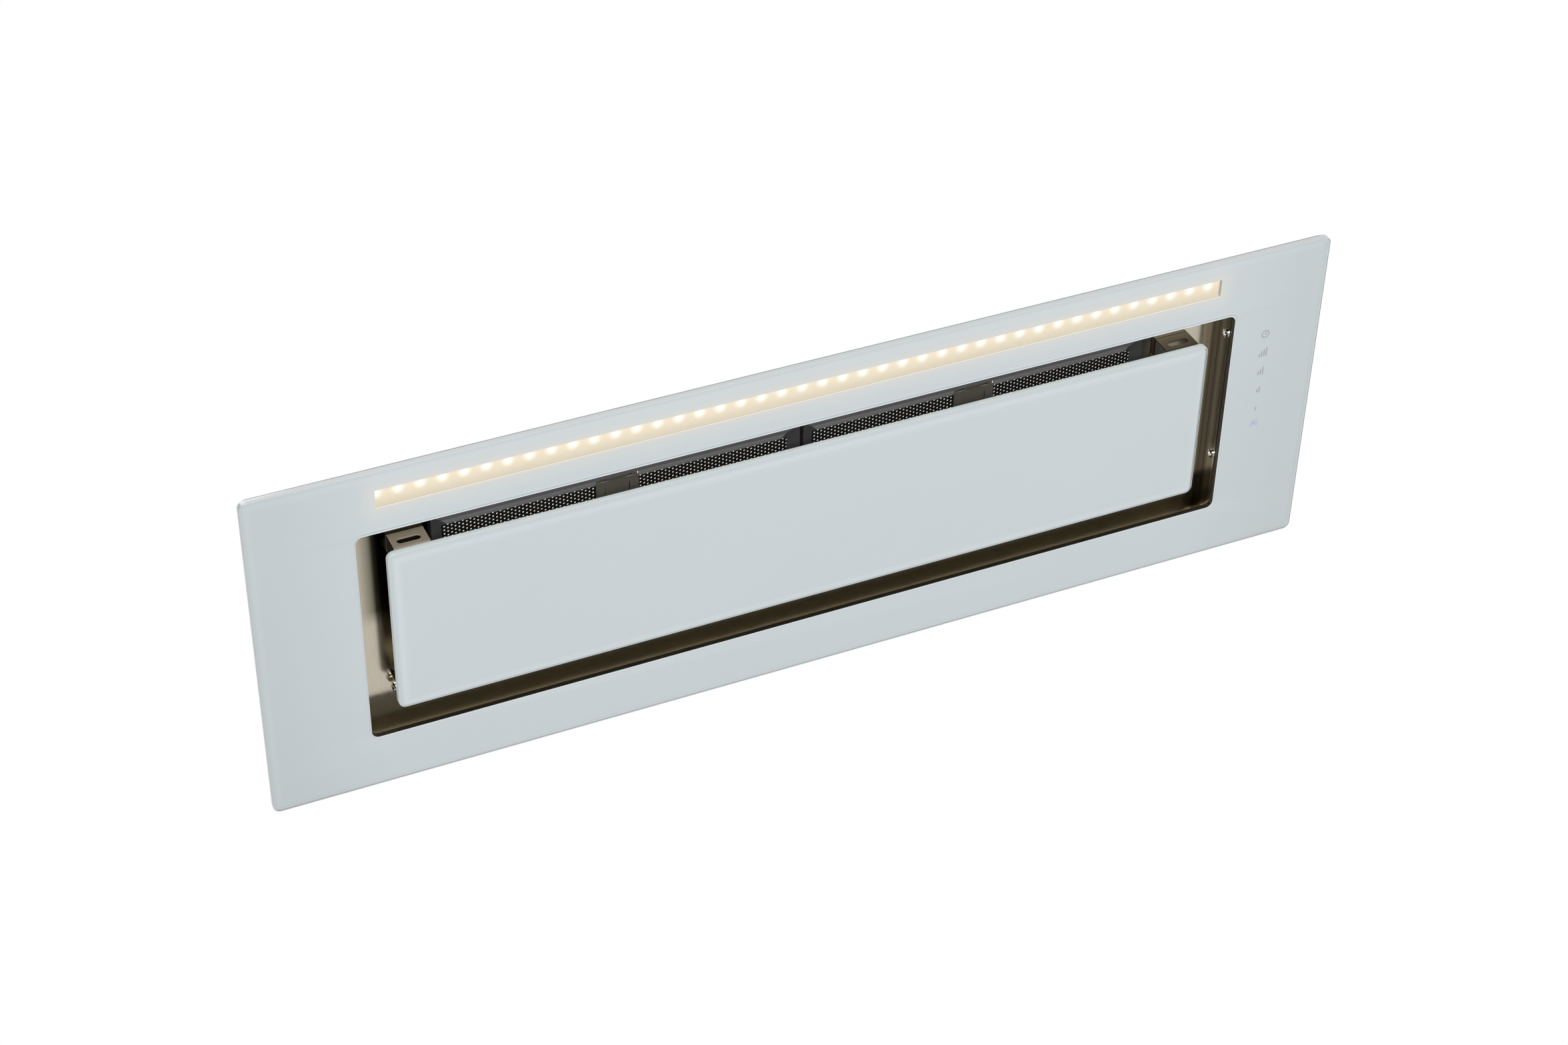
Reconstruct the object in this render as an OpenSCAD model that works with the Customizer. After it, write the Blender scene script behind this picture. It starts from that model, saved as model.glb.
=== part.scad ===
// Range hood insert: a glass-faced extractor that hangs in a cabinet or ceiling cut-out.
// X runs along the glass, Y from the lamp side (front) to the hinge side (rear), Z up into the cabinet.
// The origin is on the lower face of the glass, in its middle.

/* [Face glass] */
// Length of the face glass
glass_l = 892; // [740:2:1040]
// Width of the face glass
glass_w = 292; // [244:1:340]
// Thickness of the face glass and of the centre glass
glass_t = 5; // [4:0.5:6]
// Corner radius of the face glass
glass_corner_r = 6; // [3:1:12]
// Glass between each end of the hood and the air opening
end_border = 81; // [74:1:84]
// Glass between the front edge and the air opening
front_border = 54.75; // [53:0.25:57]
// Glass between the air opening and the rear edge
rear_border = 46.75; // [45:0.25:50]
// Corner radius of the air opening
opening_corner_r = 6; // [4:1:14]
// Glass left beyond the steel carrier, which covers the edge of the cut-out
rim_overlap = 10; // [8:1:12]

/* [Lamp] */
// Glass between each end of the hood and the lamp window
lamp_end_border = 98; // [94:1:166]
// Width of the lamp window
lamp_w = 15.8; // [12:0.2:17]
// Glass between the front edge and the lamp window
lamp_edge_gap = 16.3; // [15.5:0.1:17]
// Distance between two light points
lamp_pitch = 16.67; // [12:0.01:25]

/* [Touch keys] */
// Distance from one key to the next
key_pitch = 17.9; // [15:0.1:20]
// Distance of the key line from the end of the glass
key_inset = 50.5; // [44:0.5:54]
// Distance of the middle of the key line from the middle of the glass, towards the front
key_line_shift = 21.3; // [10:0.1:30]

/* [Centre panel] */
// Width of the air slot at each end of the panel
end_slot = 22.5; // [20:0.5:25]
// Width of the air slots along the front and the rear of the panel
long_slot = 22.25; // [20:0.25:24]
// Corner radius of the centre glass
panel_corner_r = 6; // [5:1:14]
// Height of the hinge pin above the back of the glass
hinge_lift = 13; // [12:0.25:13.5]
// Distance of the hinge pin from the rear edge of the panel
hinge_setback = 7; // [6:0.5:9]

/* [Recess] */
// Height of the recess floor above the back of the glass
recess_h = 19; // [18:0.5:24]
// How far the rear wall stands behind the edge of the opening
rear_setback = 17.75; // [14:0.25:19]
// How far the front wall stands behind the edge of the opening
front_setback = 4; // [2:0.25:6]
// Height of the wall screws above the back of the glass
wall_screw_lift = 5.2; // [5:0.1:7]

/* [Filters] */
// Room for a bracket between the end of the panel and a filter cassette
filter_end_room = 43; // [41:1:50]
// How far the cassettes reach in front of the panel
filter_lead = 1; // [0:0.5:2]
// How far the cassettes reach behind the panel
filter_trail = 3; // [0:0.5:4]
// Height of one filter cassette
filter_h = 12; // [11.5:0.5:14]
// Height of the cassettes above the recess floor
filter_lift = 6; // [5:0.5:8]
// Gap between the two cassettes
filter_gap = 3; // [2:0.5:6]
// Width of the bevelled border of a cassette
border_run = 9; // [8:0.5:12]
// Depth of the bevelled border
border_rise = 4; // [3:0.5:4.5]
// Travel of a latch
latch_travel = 5; // [4:0.5:5.5]

/* [Body] */
// Height of the plenum above the recess floor
plenum_h = 62; // [56:1:66]
// Sheet thickness of the recess and the carrier
sheet_t = 1.2; // [1:0.1:1.5]
// Sheet thickness of the plenum, the blower and the collar
shell_t = 1; // [0.8:0.1:1.2]

/* [Blower] */
// Height of the blower housing
blower_h = 49; // [46:1:52]
// Diameter of the impeller
impeller_d = 110; // [100:1:112]
// Height of the impeller
impeller_h = 37; // [32:1:38]
// Diameter of the motor
motor_d = 80; // [70:1:90]
// Height of the motor
motor_h = 26; // [25:1:30]

/* [Duct collar] */
// Outer diameter of the duct collar
collar_d = 125; // [118:1:128]
// Height of the duct collar
collar_h = 31; // [28:1:34]

/* [Hanging brackets] */
// Length of one hanging slot
hang_slot_l = 20; // [14:1:22]
// Width of one hanging slot
hang_slot_w = 9; // [7:0.5:10]
// Distance between the two slots of one bracket
hang_slot_pitch = 90; // [70:1:100]

/* [Hidden] */
$fn = 48;

// Clearances and small shared sizes
overrun = 1;
seat_gap = 0.3;
thread_gap = 0.02;
running_gap = 0.06;
tape_t = 1;
small_r = 0.8;

// Heights of the main faces
ring_z = glass_t + tape_t;
ring_top_z = ring_z + sheet_t;
floor_z = glass_t + recess_h;
pan_top_z = floor_z + sheet_t;
shell_top_z = pan_top_z + plenum_h;
roof_z = shell_top_z + shell_t;
blower_top_z = roof_z + blower_h;
cover_z = blower_top_z + shell_t;

// Plan of the air opening, the panel and the lamp window
opening_l = glass_l - 2 * end_border;
opening_w = glass_w - front_border - rear_border;
opening_shift = (front_border - rear_border) / 2;
panel_l = opening_l - 2 * end_slot;
panel_w = opening_w - 2 * long_slot;
lamp_l = glass_l - 2 * lamp_end_border;

// Plan of the carrier and the recess
carrier_l = glass_l - 2 * rim_overlap;
carrier_w = glass_w - 2 * rim_overlap;
carrier_corner_r = 4;
carrier_skirt_h = 9;
tape_inset = 1;
wall_x = opening_l / 2;
opening_front_y = opening_shift - opening_w / 2;
opening_rear_y = opening_shift + opening_w / 2;
front_wall_y = opening_front_y - front_setback;
rear_wall_y = opening_rear_y + rear_setback;
pan_lip = 12;
pan_x = wall_x + sheet_t + pan_lip;
pan_front_y = front_wall_y - sheet_t - pan_lip;
pan_rear_y = rear_wall_y + sheet_t + pan_lip;

// Rim seal
seal_h = 3;
seal_inset = 2;
seal_gap = 0.5;

// Lamp
lamp_y = lamp_edge_gap + lamp_w / 2 - glass_w / 2;
lens_gap = 0.1;
channel_t = 1.2;
channel_side_gap = 0.8;
channel_h = 11.6;
channel_l = lamp_l + 2 * (channel_side_gap + channel_t);
channel_w = lamp_w + 2 * (channel_side_gap + channel_t);
channel_top_z = glass_t + channel_h;
board_t = 1.6;
lamp_board_w = 12;
lamp_board_z = channel_top_z - channel_t - board_t;
led_l = 3.5;
led_w = 2.8;
led_h = 0.8;
lamp_end_gap = 6;
lamp_count = floor((lamp_l - 2 * lamp_end_gap) / lamp_pitch) + 1;

// Touch keys
key_count = 6;
key_x = glass_l / 2 - key_inset;
key_pad_r = 5.5;
key_pad_h = 2.7;
key_line_l = (key_count - 1) * key_pitch;
key_slot_w = 22;
key_slot_end = 8;
key_board_w = 26;
key_board_end = 12;
key_cover_w = 32;
key_cover_end = 15;
key_cover_h = 9;
key_cover_t = 1.2;

// Screws with a pan head
screw_r = 1.95;
screw_head_r = 3.6;
screw_head_h = 2.4;
screw_dome_share = 0.45;
screw_reach = 3;
cross_w = 1;
cross_l = 4.4;
cross_depth = 1.3;

// Screws in the walls of the recess and the ears that they pass into
wall_screw_z = glass_t + wall_screw_lift;
wall_screw_front_inset = 22.65;
wall_screw_rear_inset = 48.15;
wall_screw_ys = [opening_front_y + wall_screw_front_inset, opening_rear_y - wall_screw_rear_inset];
ear_w = 24;
ear_gap = 0.1;
ear_x = wall_x + sheet_t + ear_gap;
wall_screw_l = 2 * sheet_t + ear_gap + screw_reach;

// Centre panel and its hinge
panel_front_y = opening_shift - panel_w / 2;
panel_rear_y = opening_shift + panel_w / 2;
tray_inset = 3.5;
tray_t = 1;
rib_inset = 11;
rib_end_inset = 37;
rib_h = 4;
hinge_y = panel_rear_y - hinge_setback;
hinge_z = glass_t + hinge_lift;
hinge_pin_r = 2;
lug_inset = 3;
lug_t = 1.5;
lug_r = 6;
lug_x = panel_l / 2 - lug_inset;
arm_t = 1.2;
arm_r = 5.5;
arm_side_gap = 0.2;
arm_x = lug_x - lug_t - arm_side_gap;
nut_h = 2.4;
nut_r = 4;
pin_end = 1;
pin_l = lug_t + arm_side_gap + arm_t + arm_side_gap + nut_h + pin_end;
hinge_head_r = 3.4;
hinge_head_h = 2.7;

// Brackets behind the front edge of the panel, and the magnets that catch them
bracket_inset = 20.75;
bracket_w = 28.5;
bracket_t = 1.2;
bracket_depth = 16;
bracket_foot_l = 20;
bracket_lead = 0.2;
bracket_mid_x = panel_l / 2 - bracket_inset;
bracket_y = panel_front_y - bracket_lead;
bracket_top_z = floor_z - seat_gap;
bracket_slot_l = 18.5;
bracket_slot_w = 6.2;
bracket_slot_lift = 8.2;
magnet_r = 6.5;
magnet_h = 2.6;
magnet_setback = 10;
strike_z = floor_z - magnet_h - seat_gap;

// Filter well
well_side_gap = 4.5;
well_end_gap = 4;
well_t = 1;
well_foot = 2.4;
well_ledge = 7;
divider_w = 12;
filter_l = panel_l / 2 - filter_end_room - filter_gap / 2;
filter_w = panel_w + filter_lead + filter_trail;
filter_z = floor_z + filter_lift;
filter_top_z = filter_z + filter_h;
filter_mid_x = (filter_gap + filter_l) / 2;
filter_front_y = panel_front_y - filter_lead;
filter_mid_y = filter_front_y + filter_w / 2;
filter_rear_y = filter_front_y + filter_w;
well_x = filter_gap / 2 + filter_l + well_side_gap;
well_front_y = filter_front_y - well_end_gap;
well_rear_y = filter_rear_y + well_end_gap;
ledge_z = filter_top_z + seat_gap;

// Filter cassettes
border_t = 0.8;
layer_gap = 0.4;
face_lift = 1;
face_z = filter_z + border_rise + face_lift;
face_t = 0.8;
cup_z = face_z + face_t;
back_t = 0.8;
mesh_gap = 0.1;
tab_w = 12;
tab_l = 7.5;
tab_t = 1.2;
tab_lift = 2;
tab_end_inset = 40;
tab_play = 1.2;

// Filter latches
plate_w = 34.5;
plate_l = 34;
plate_t = 1.2;
plate_setback = 11.5;
window_w = 20;
window_setback = 5;
pad_l = 13;
pad_gap = 0.5;
cup_w = 26;
cup_t = 0.8;
cup_h = 3.7;
tongue_w = 16;
tongue_t = 1.2;
tongue_reach = 7;
tongue_z = cup_z + seat_gap;
spring_lug_t = 2;
spring_wire_r = 0.2;
spring_r = 1;
spring_turns = 7;
spring_room = 10;
rivet_r = 1.2;
rivet_x = 14.5;
rivet_inset = 2.5;
plate_y = filter_front_y + plate_setback;
window_y = plate_y + window_setback;
window_end_y = window_y + pad_l + latch_travel + 2 * pad_gap;
pad_y = window_y + pad_gap;
cup_front_y = filter_front_y + border_run;
cup_end_y = window_end_y + spring_room;

// Plenum
shell_foot = 10;
shell_rim = 12;
plenum_gap = 1;
shell_x = pan_x - shell_foot;
shell_front_y = well_front_y - well_t - well_foot - plenum_gap - shell_t;
shell_rear_y = pan_rear_y - shell_foot;
shell_mid_y = (shell_front_y + shell_rear_y) / 2;
rear_screw_count = 5;
rear_screw_share = 0.8;

// Blower
blower_x = -60;
blower_setback = 82;
blower_y = shell_rear_y - blower_setback;
scroll_gap = 5;
scroll_growth = 20;
scroll_step = 15;
scroll_turn = 270;
half_turn = 180;
scroll_r = impeller_d / 2 + scroll_gap;
scroll_end_r = scroll_r + scroll_growth;
outlet_w = 60;
foot_t = 2;
foot_l = 12;
inlet_t = 1.2;
inlet_inset = 9.5;
inlet_lift = 4.5;
inlet_drop = 3;
inlet_flange = 9;
inlet_r = impeller_d / 2 - inlet_inset;
impeller_gap = 6;
impeller_z = roof_z + impeller_gap;
impeller_top_z = impeller_z + impeller_h;
blade_count = 36;
blade_t = 0.8;
blade_depth = 11;
blade_lean = 28;
ring_t = 1.6;
back_plate_t = 1.2;
hub_r = 9;
hub_h = 10;

// Motor
shaft_r = 4;
shaft_gap = 2;
bearing_r = 11;
bearing_h = 4;
motor_wall = 1.6;
motor_foot = 5;
motor_foot_t = 2;
stator_depth = 14;
stator_gap = 2;
rotor_gap = 0.6;
low_bearing_z = cover_z + motor_foot_t;
motor_room_z = low_bearing_z + bearing_h;
motor_roof_z = cover_z + motor_h - motor_wall;
high_bearing_z = motor_roof_z - bearing_h;
stator_z = motor_room_z + stator_gap;
stator_h = high_bearing_z - stator_z - stator_gap;

// Duct collar and damper
collar_x = 150;
collar_r = collar_d / 2;
collar_bore_r = collar_r - shell_t;
collar_flange = 5;
chamber_inset = 2;
chamber_margin = 4.5;
chamber_edge = 0.5;
chamber_half = collar_r + collar_flange + chamber_margin;
chamber_rear_y = shell_rear_y - chamber_inset;
collar_y = chamber_rear_y - collar_r - collar_flange - chamber_edge;
damper_lift = 10;
damper_z = cover_z + damper_lift;
damper_pin_r = 1.5;
flap_t = 1;
flap_gap = 1.2;
barrel_r = 2.6;
barrel_l = 8;
barrel_ys = [20, 30];
barrel_gap = 0.6;
stop_w = 3;
stop_h = 2;
stop_pin_gap = 2;
stop_z = damper_z - flap_t / 2 - seat_gap - stop_h;

// Control box, sized round its driver and its capacitor
driver_at = [48, 12];
driver_size = [64, 24, 18];
capacitor_at = [78, 62];
capacitor_r = 15;
capacitor_h = 24;
box_end_room = 18;
box_rear_room = 13;
box_l = driver_at[0] + driver_size[0] + box_end_room;
box_w = capacitor_at[1] + capacitor_r + box_rear_room;
box_h = 36;
box_t = 1.5;
box_end_gap = 23;
box_rear_gap = 40;
box_x = box_end_gap - shell_x;
box_y = shell_rear_y - box_rear_gap - box_w;
lid_t = 1.5;
lid_lap = 4;
post_h = 5;
post_r = 3;
post_inset = 8;
board_gap = 1.5;
parts_z = roof_z + box_t + post_h + board_t;
terminal_at = [24, 30];
terminal_count = 5;
terminal_size = [12, 6, 14];
terminal_screw_r = 1.8;
terminal_screw_depth = 4;
gland_r = 8;
gland_bore_r = 4;
gland_out = 15;
gland_in = 8;
gland_hex_r = 11;
gland_hex_h = 6;
gland_nut_h = 4;
gland_lift = 20;

// Hanging brackets
hang_ear = 30;
hang_leg = 22;
hang_w = 130;
hang_t = 2;
hang_lift = 38;
hang_slot_inset = 17;
hang_z = pan_top_z + hang_lift;
hang_slot_x = shell_x + hang_slot_inset;

// Rounded rectangle, centred
module outline(l, w, r) {
    square([l, w - 2 * r], center = true);
    square([l - 2 * r, w], center = true);
    for (sx = [-1, 1], sy = [-1, 1])
        translate([sx * (l / 2 - r), sy * (w / 2 - r)]) circle(r = r);
}

// Slot with round ends, centred, long side along X
module slot_outline(l, w) {
    square([l - w, w], center = true);
    for (s = [-1, 1])
        translate([s * (l - w) / 2, 0]) circle(d = w);
}

// Plate with round corners, centred on X and Y
module slab(l, w, h, r) {
    linear_extrude(h) outline(l, w, r);
}

// Block between two corners
module block(low, high) {
    translate(low) cube(high - low);
}

// Disc or bore along X that starts at zero
module disc_x(r, l) {
    rotate([0, 90, 0]) cylinder(r = r, h = l);
}

// The same piece at both ends of the hood
module both_ends() {
    children();
    mirror([1, 0, 0]) children();
}

// Space inside the walls of the recess, between two heights, grown by grow on each side
module recess_space(z0, z1, grow = 0) {
    block([-wall_x - grow, front_wall_y - grow, z0], [wall_x + grow, rear_wall_y + grow, z1]);
}

// Places where the lamp channel and the keys pass through the carrier
module service_slots(z0, h) {
    translate([0, lamp_y, z0])
        slab(channel_l + 2 * seat_gap, channel_w + 2 * seat_gap, h, small_r);
    translate([key_x, -key_line_shift, z0])
        slab(key_slot_w, key_line_l + 2 * key_slot_end, h, small_r);
}

// Screw with a domed pan head and a cross recess, head up, the seat of the head at zero
module pan_screw(l, head_r = screw_head_r, head_h = screw_head_h) {
    dome_r = head_r / screw_dome_share;
    translate([0, 0, -l]) cylinder(r = screw_r, h = l);
    difference() {
        intersection() {
            cylinder(r = head_r, h = head_h);
            translate([0, 0, head_h - dome_r]) sphere(r = dome_r);
        }
        for (a = [0, 90])
            rotate([0, 0, a])
                translate([-cross_l / 2, -cross_w / 2, head_h - cross_depth])
                    cube([cross_l, cross_w, cross_depth + overrun]);
    }
}

// Bore for the thread of a screw, from z0 up over a length
module screw_bore(z0, l) {
    translate([0, 0, z0]) cylinder(r = screw_r + thread_gap, h = l);
}

// Frustum with flat sides: full size at zero, drawn in by run at each side over rise
module tapered_space(l, w, run, rise) {
    intersection() {
        rotate([90, 0, 0])
            translate([0, 0, -w / 2 - overrun])
                linear_extrude(w + 2 * overrun)
                    polygon([[-l / 2, 0], [l / 2, 0], [l / 2 - run, rise], [run - l / 2, rise]]);
        rotate([90, 0, 90])
            translate([0, 0, -l / 2 - overrun])
                linear_extrude(l + 2 * overrun)
                    polygon([[-w / 2, 0], [w / 2, 0], [w / 2 - run, rise], [run - w / 2, rise]]);
    }
}

// Coil of round wire along Z, one unbroken tube
module coil(r, wire_r, turns, h) {
    sides = 6;
    steps = 8;
    rings = turns * steps;
    climb = (h - 2 * wire_r) / rings;
    points = [
        for (i = [0:rings], k = [0:sides - 1])
            let (a = i * 360 / steps, b = k * 360 / sides, d = r + wire_r * cos(b))
                [d * cos(a), d * sin(a), wire_r + i * climb + wire_r * sin(b)]
    ];
    side_faces = [
        for (i = [0:rings - 1], k = [0:sides - 1])
            let (m = (k + 1) % sides)
                each [
                    [i * sides + k, (i + 1) * sides + m, (i + 1) * sides + k],
                    [i * sides + k, i * sides + m, (i + 1) * sides + m]
                ]
    ];
    start_cap = [for (k = [1:sides - 2]) [0, k + 1, k]];
    last = rings * sides;
    end_cap = [for (k = [1:sides - 2]) [last, last + k, last + k + 1]];
    polyhedron(points, concat(side_faces, start_cap, end_cap));
}

// Face glass, lamp and keys

module face_glass() {
    color("#dfe5e9")
        difference() {
            slab(glass_l, glass_w, glass_t, glass_corner_r);
            translate([0, opening_shift, -overrun])
                slab(opening_l, opening_w, glass_t + 2 * overrun, opening_corner_r);
            translate([0, lamp_y, -overrun]) slab(lamp_l, lamp_w, glass_t + 2 * overrun, small_r);
        }
}

module lamp_window() {
    color("#f6ecd2")
        translate([0, lamp_y, 0])
            slab(lamp_l - 2 * lens_gap, lamp_w - 2 * lens_gap, glass_t, small_r);
}

module glass_tape() {
    color("#3a3a3c")
        difference() {
            translate([0, 0, glass_t])
                slab(carrier_l - 2 * tape_inset, carrier_w - 2 * tape_inset, tape_t, carrier_corner_r);
            recess_space(glass_t - overrun, ring_z + overrun, tape_inset);
            service_slots(glass_t - overrun, tape_t + 2 * overrun);
        }
}

module glass_carrier() {
    color("#b9b2a4")
        difference() {
            union() {
                translate([0, 0, ring_z]) slab(carrier_l, carrier_w, sheet_t, carrier_corner_r);
                recess_space(ring_z, floor_z, sheet_t);
                translate([0, 0, ring_z])
                    difference() {
                        slab(carrier_l, carrier_w, carrier_skirt_h + sheet_t, carrier_corner_r);
                        slab(carrier_l - 2 * sheet_t, carrier_w - 2 * sheet_t,
                            carrier_skirt_h + sheet_t + overrun, carrier_corner_r - sheet_t);
                    }
            }
            recess_space(ring_z - overrun, floor_z + overrun);
            service_slots(ring_z - overrun, sheet_t + 2 * overrun);
            both_ends() wall_screw_bores(wall_x);
        }
}

module rim_seal() {
    color("#2c2d2f")
        translate([0, 0, glass_t])
            difference() {
                slab(glass_l - 2 * seal_inset, glass_w - 2 * seal_inset, seal_h, glass_corner_r);
                translate([0, 0, -overrun])
                    slab(carrier_l + 2 * seal_gap, carrier_w + 2 * seal_gap, seal_h + 2 * overrun,
                        carrier_corner_r);
            }
}

module lamp_channel() {
    color("#c9ccd0")
        translate([0, lamp_y, glass_t])
            difference() {
                slab(channel_l, channel_w, channel_h, small_r);
                translate([0, 0, -overrun])
                    slab(channel_l - 2 * channel_t, channel_w - 2 * channel_t,
                        channel_h - channel_t + overrun, small_r);
            }
}

module lamp_board() {
    color("#f3f1ea")
        translate([0, lamp_y, lamp_board_z]) slab(lamp_l, lamp_board_w, board_t, small_r);
}

module lamp_leds() {
    color("#ffe9b0")
        for (i = [0:lamp_count - 1])
            translate([(i - (lamp_count - 1) / 2) * lamp_pitch, lamp_y, lamp_board_z - led_h / 2])
                cube([led_l, led_w, led_h], center = true);
}

module touch_pads() {
    color("#8f9499")
        for (i = [0:key_count - 1])
            translate([key_x, -key_line_shift - key_line_l / 2 + i * key_pitch, glass_t])
                cylinder(r = key_pad_r, h = key_pad_h);
}

module touch_board() {
    color("#1f6b42")
        translate([key_x, -key_line_shift, glass_t + key_pad_h])
            slab(key_board_w, key_line_l + 2 * key_board_end, board_t, small_r);
}

module touch_cover() {
    inner_end = key_cover_end - key_cover_t;
    color("#2b2c2e")
        translate([key_x, -key_line_shift, ring_top_z])
            difference() {
                slab(key_cover_w, key_line_l + 2 * key_cover_end, key_cover_h, small_r);
                translate([0, 0, -overrun])
                    slab(key_cover_w - 2 * key_cover_t, key_line_l + 2 * inner_end,
                        key_cover_h - key_cover_t + overrun, small_r);
            }
}

// Recess

// Repeats its children at the two screws of one side wall
module wall_screw_places() {
    for (y = wall_screw_ys)
        translate([0, y, wall_screw_z]) children();
}

// Bores through one sheet of a side wall that starts at x
module wall_screw_bores(x) {
    wall_screw_places()
        translate([x - overrun, 0, 0]) disc_x(screw_r + thread_gap, sheet_t + 2 * overrun);
}

// Ears that hang down outside a side wall and take its screws
module wall_ears() {
    difference() {
        for (y = wall_screw_ys)
            block([ear_x, y - ear_w / 2, ring_top_z + seat_gap], [ear_x + sheet_t, y + ear_w / 2, floor_z]);
        wall_screw_bores(ear_x);
    }
}

// Hinge lug that hangs from the recess floor
module hinge_lug() {
    difference() {
        union() {
            block([lug_x - lug_t, hinge_y - lug_r, hinge_z], [lug_x, hinge_y + lug_r, floor_z]);
            translate([lug_x - lug_t, hinge_y, hinge_z]) disc_x(lug_r, lug_t);
        }
        translate([lug_x - lug_t - overrun, hinge_y, hinge_z])
            disc_x(hinge_pin_r + thread_gap, lug_t + 2 * overrun);
    }
}

module recess_pan() {
    color("#b9b2a4") {
        difference() {
            block([-pan_x, pan_front_y, floor_z], [pan_x, pan_rear_y, pan_top_z]);
            block([-well_x, well_front_y, floor_z - overrun], [well_x, well_rear_y, pan_top_z + overrun]);
            foot_screw_places() screw_bore(-overrun, sheet_t + 2 * overrun);
        }
        both_ends() {
            wall_ears();
            hinge_lug();
        }
    }
}

module wall_screws() {
    color("#d8dadd")
        both_ends()
            wall_screw_places()
                translate([wall_x, 0, 0]) rotate([0, -90, 0]) pan_screw(wall_screw_l);
}

module catch_magnets() {
    color("#6d6f73")
        both_ends()
            translate([bracket_mid_x, bracket_y + magnet_setback, floor_z - magnet_h])
                cylinder(r = magnet_r, h = magnet_h);
}

// Centre panel

module centre_glass() {
    color("#dfe5e9")
        translate([0, opening_shift, 0]) slab(panel_l, panel_w, glass_t, panel_corner_r);
}

// Arm that stands up from the panel to the hinge screw
module hinge_arm() {
    difference() {
        union() {
            block([arm_x - arm_t, hinge_y - arm_r, glass_t], [arm_x, hinge_y + arm_r, hinge_z]);
            translate([arm_x - arm_t, hinge_y, hinge_z]) disc_x(arm_r, arm_t);
        }
        translate([arm_x - arm_t - overrun, hinge_y, hinge_z])
            disc_x(hinge_pin_r + running_gap, arm_t + 2 * overrun);
    }
}

module panel_tray() {
    rib_l = panel_l - 2 * rib_end_inset;
    rib_w = panel_w - 2 * rib_inset;
    tray_corner_r = panel_corner_r - tray_inset;
    color("#b9b2a4") {
        translate([0, opening_shift, glass_t]) {
            slab(panel_l - 2 * tray_inset, panel_w - 2 * tray_inset, tray_t, tray_corner_r);
            difference() {
                slab(rib_l, rib_w, tray_t + rib_h, tray_corner_r);
                translate([0, 0, tray_t])
                    slab(rib_l - 2 * tray_t, rib_w - 2 * tray_t, rib_h + overrun, tray_corner_r - tray_t);
            }
        }
        both_ends() hinge_arm();
    }
}

module hinge_screws() {
    color("#d8dadd")
        both_ends()
            translate([lug_x, hinge_y, hinge_z]) {
                rotate([0, 90, 0]) pan_screw(pin_l, hinge_head_r, hinge_head_h);
                translate([pin_end - pin_l, 0, 0])
                    rotate([0, 90, 0]) cylinder(r = nut_r, h = nut_h, $fn = 6);
            }
}

// Channel bracket behind the front edge of the panel, with a slot in its face
module panel_bracket() {
    x0 = bracket_mid_x - bracket_w / 2;
    x1 = bracket_mid_x + bracket_w / 2;
    z0 = glass_t + tray_t;
    face_y = bracket_y + bracket_t;
    rear_y = bracket_y + bracket_depth;
    difference() {
        union() {
            block([x0, bracket_y, z0], [x1, face_y, bracket_top_z]);
            block([x0, bracket_y, z0], [x1, bracket_y + bracket_foot_l, z0 + bracket_t]);
            block([x0, bracket_y, z0], [x0 + bracket_t, rear_y, bracket_top_z]);
            block([x1 - bracket_t, bracket_y, z0], [x1, rear_y, bracket_top_z]);
            block([x0, bracket_y, strike_z - bracket_t], [x1, rear_y, strike_z]);
        }
        translate([bracket_mid_x, bracket_y - overrun, glass_t + bracket_slot_lift])
            rotate([-90, 0, 0])
                linear_extrude(bracket_t + 2 * overrun) slot_outline(bracket_slot_l, bracket_slot_w);
    }
}

module panel_bracket_left() {
    color("#a89d8a") mirror([1, 0, 0]) panel_bracket();
}

module panel_bracket_right() {
    color("#a89d8a") panel_bracket();
}

// Filter well and cassettes

// Centres of the two tabs at the rear of one cassette
module tab_places() {
    for (s = [-1, 1])
        translate([s * (filter_l / 2 - tab_end_inset), filter_rear_y, filter_z + tab_lift]) children();
}

// Way of a latch tongue through a wall that starts at y and is t thick
module tongue_way(y, t) {
    block([-tongue_w / 2 - seat_gap, y - overrun, tongue_z - seat_gap],
        [tongue_w / 2 + seat_gap, y + t + overrun, tongue_z + tongue_t + seat_gap]);
}

module filter_well() {
    outer_x = well_x + well_t;
    ledge_x = well_x - well_ledge;
    color("#8d8f92")
        difference() {
            union() {
                block([-outer_x, well_front_y - well_t, pan_top_z],
                    [outer_x, well_rear_y + well_t, ledge_z + well_t]);
                block([-outer_x - well_foot, well_front_y - well_t - well_foot, pan_top_z],
                    [outer_x + well_foot, well_rear_y + well_t + well_foot, pan_top_z + well_t]);
            }
            block([-well_x, well_front_y, pan_top_z - overrun], [well_x, well_rear_y, ledge_z]);
            both_ends()
                block([divider_w / 2, well_front_y + well_ledge, ledge_z - overrun],
                    [ledge_x, well_rear_y - well_ledge, ledge_z + well_t + overrun]);
            for (s = [-1, 1])
                translate([s * filter_mid_x, 0, 0]) {
                    tongue_way(well_front_y - well_t, well_t);
                    tab_places()
                        block([-tab_w / 2 - seat_gap, well_end_gap - overrun, -seat_gap],
                            [tab_w / 2 + seat_gap, well_end_gap + well_t + overrun, tab_t + tab_play]);
                }
        }
}

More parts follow.
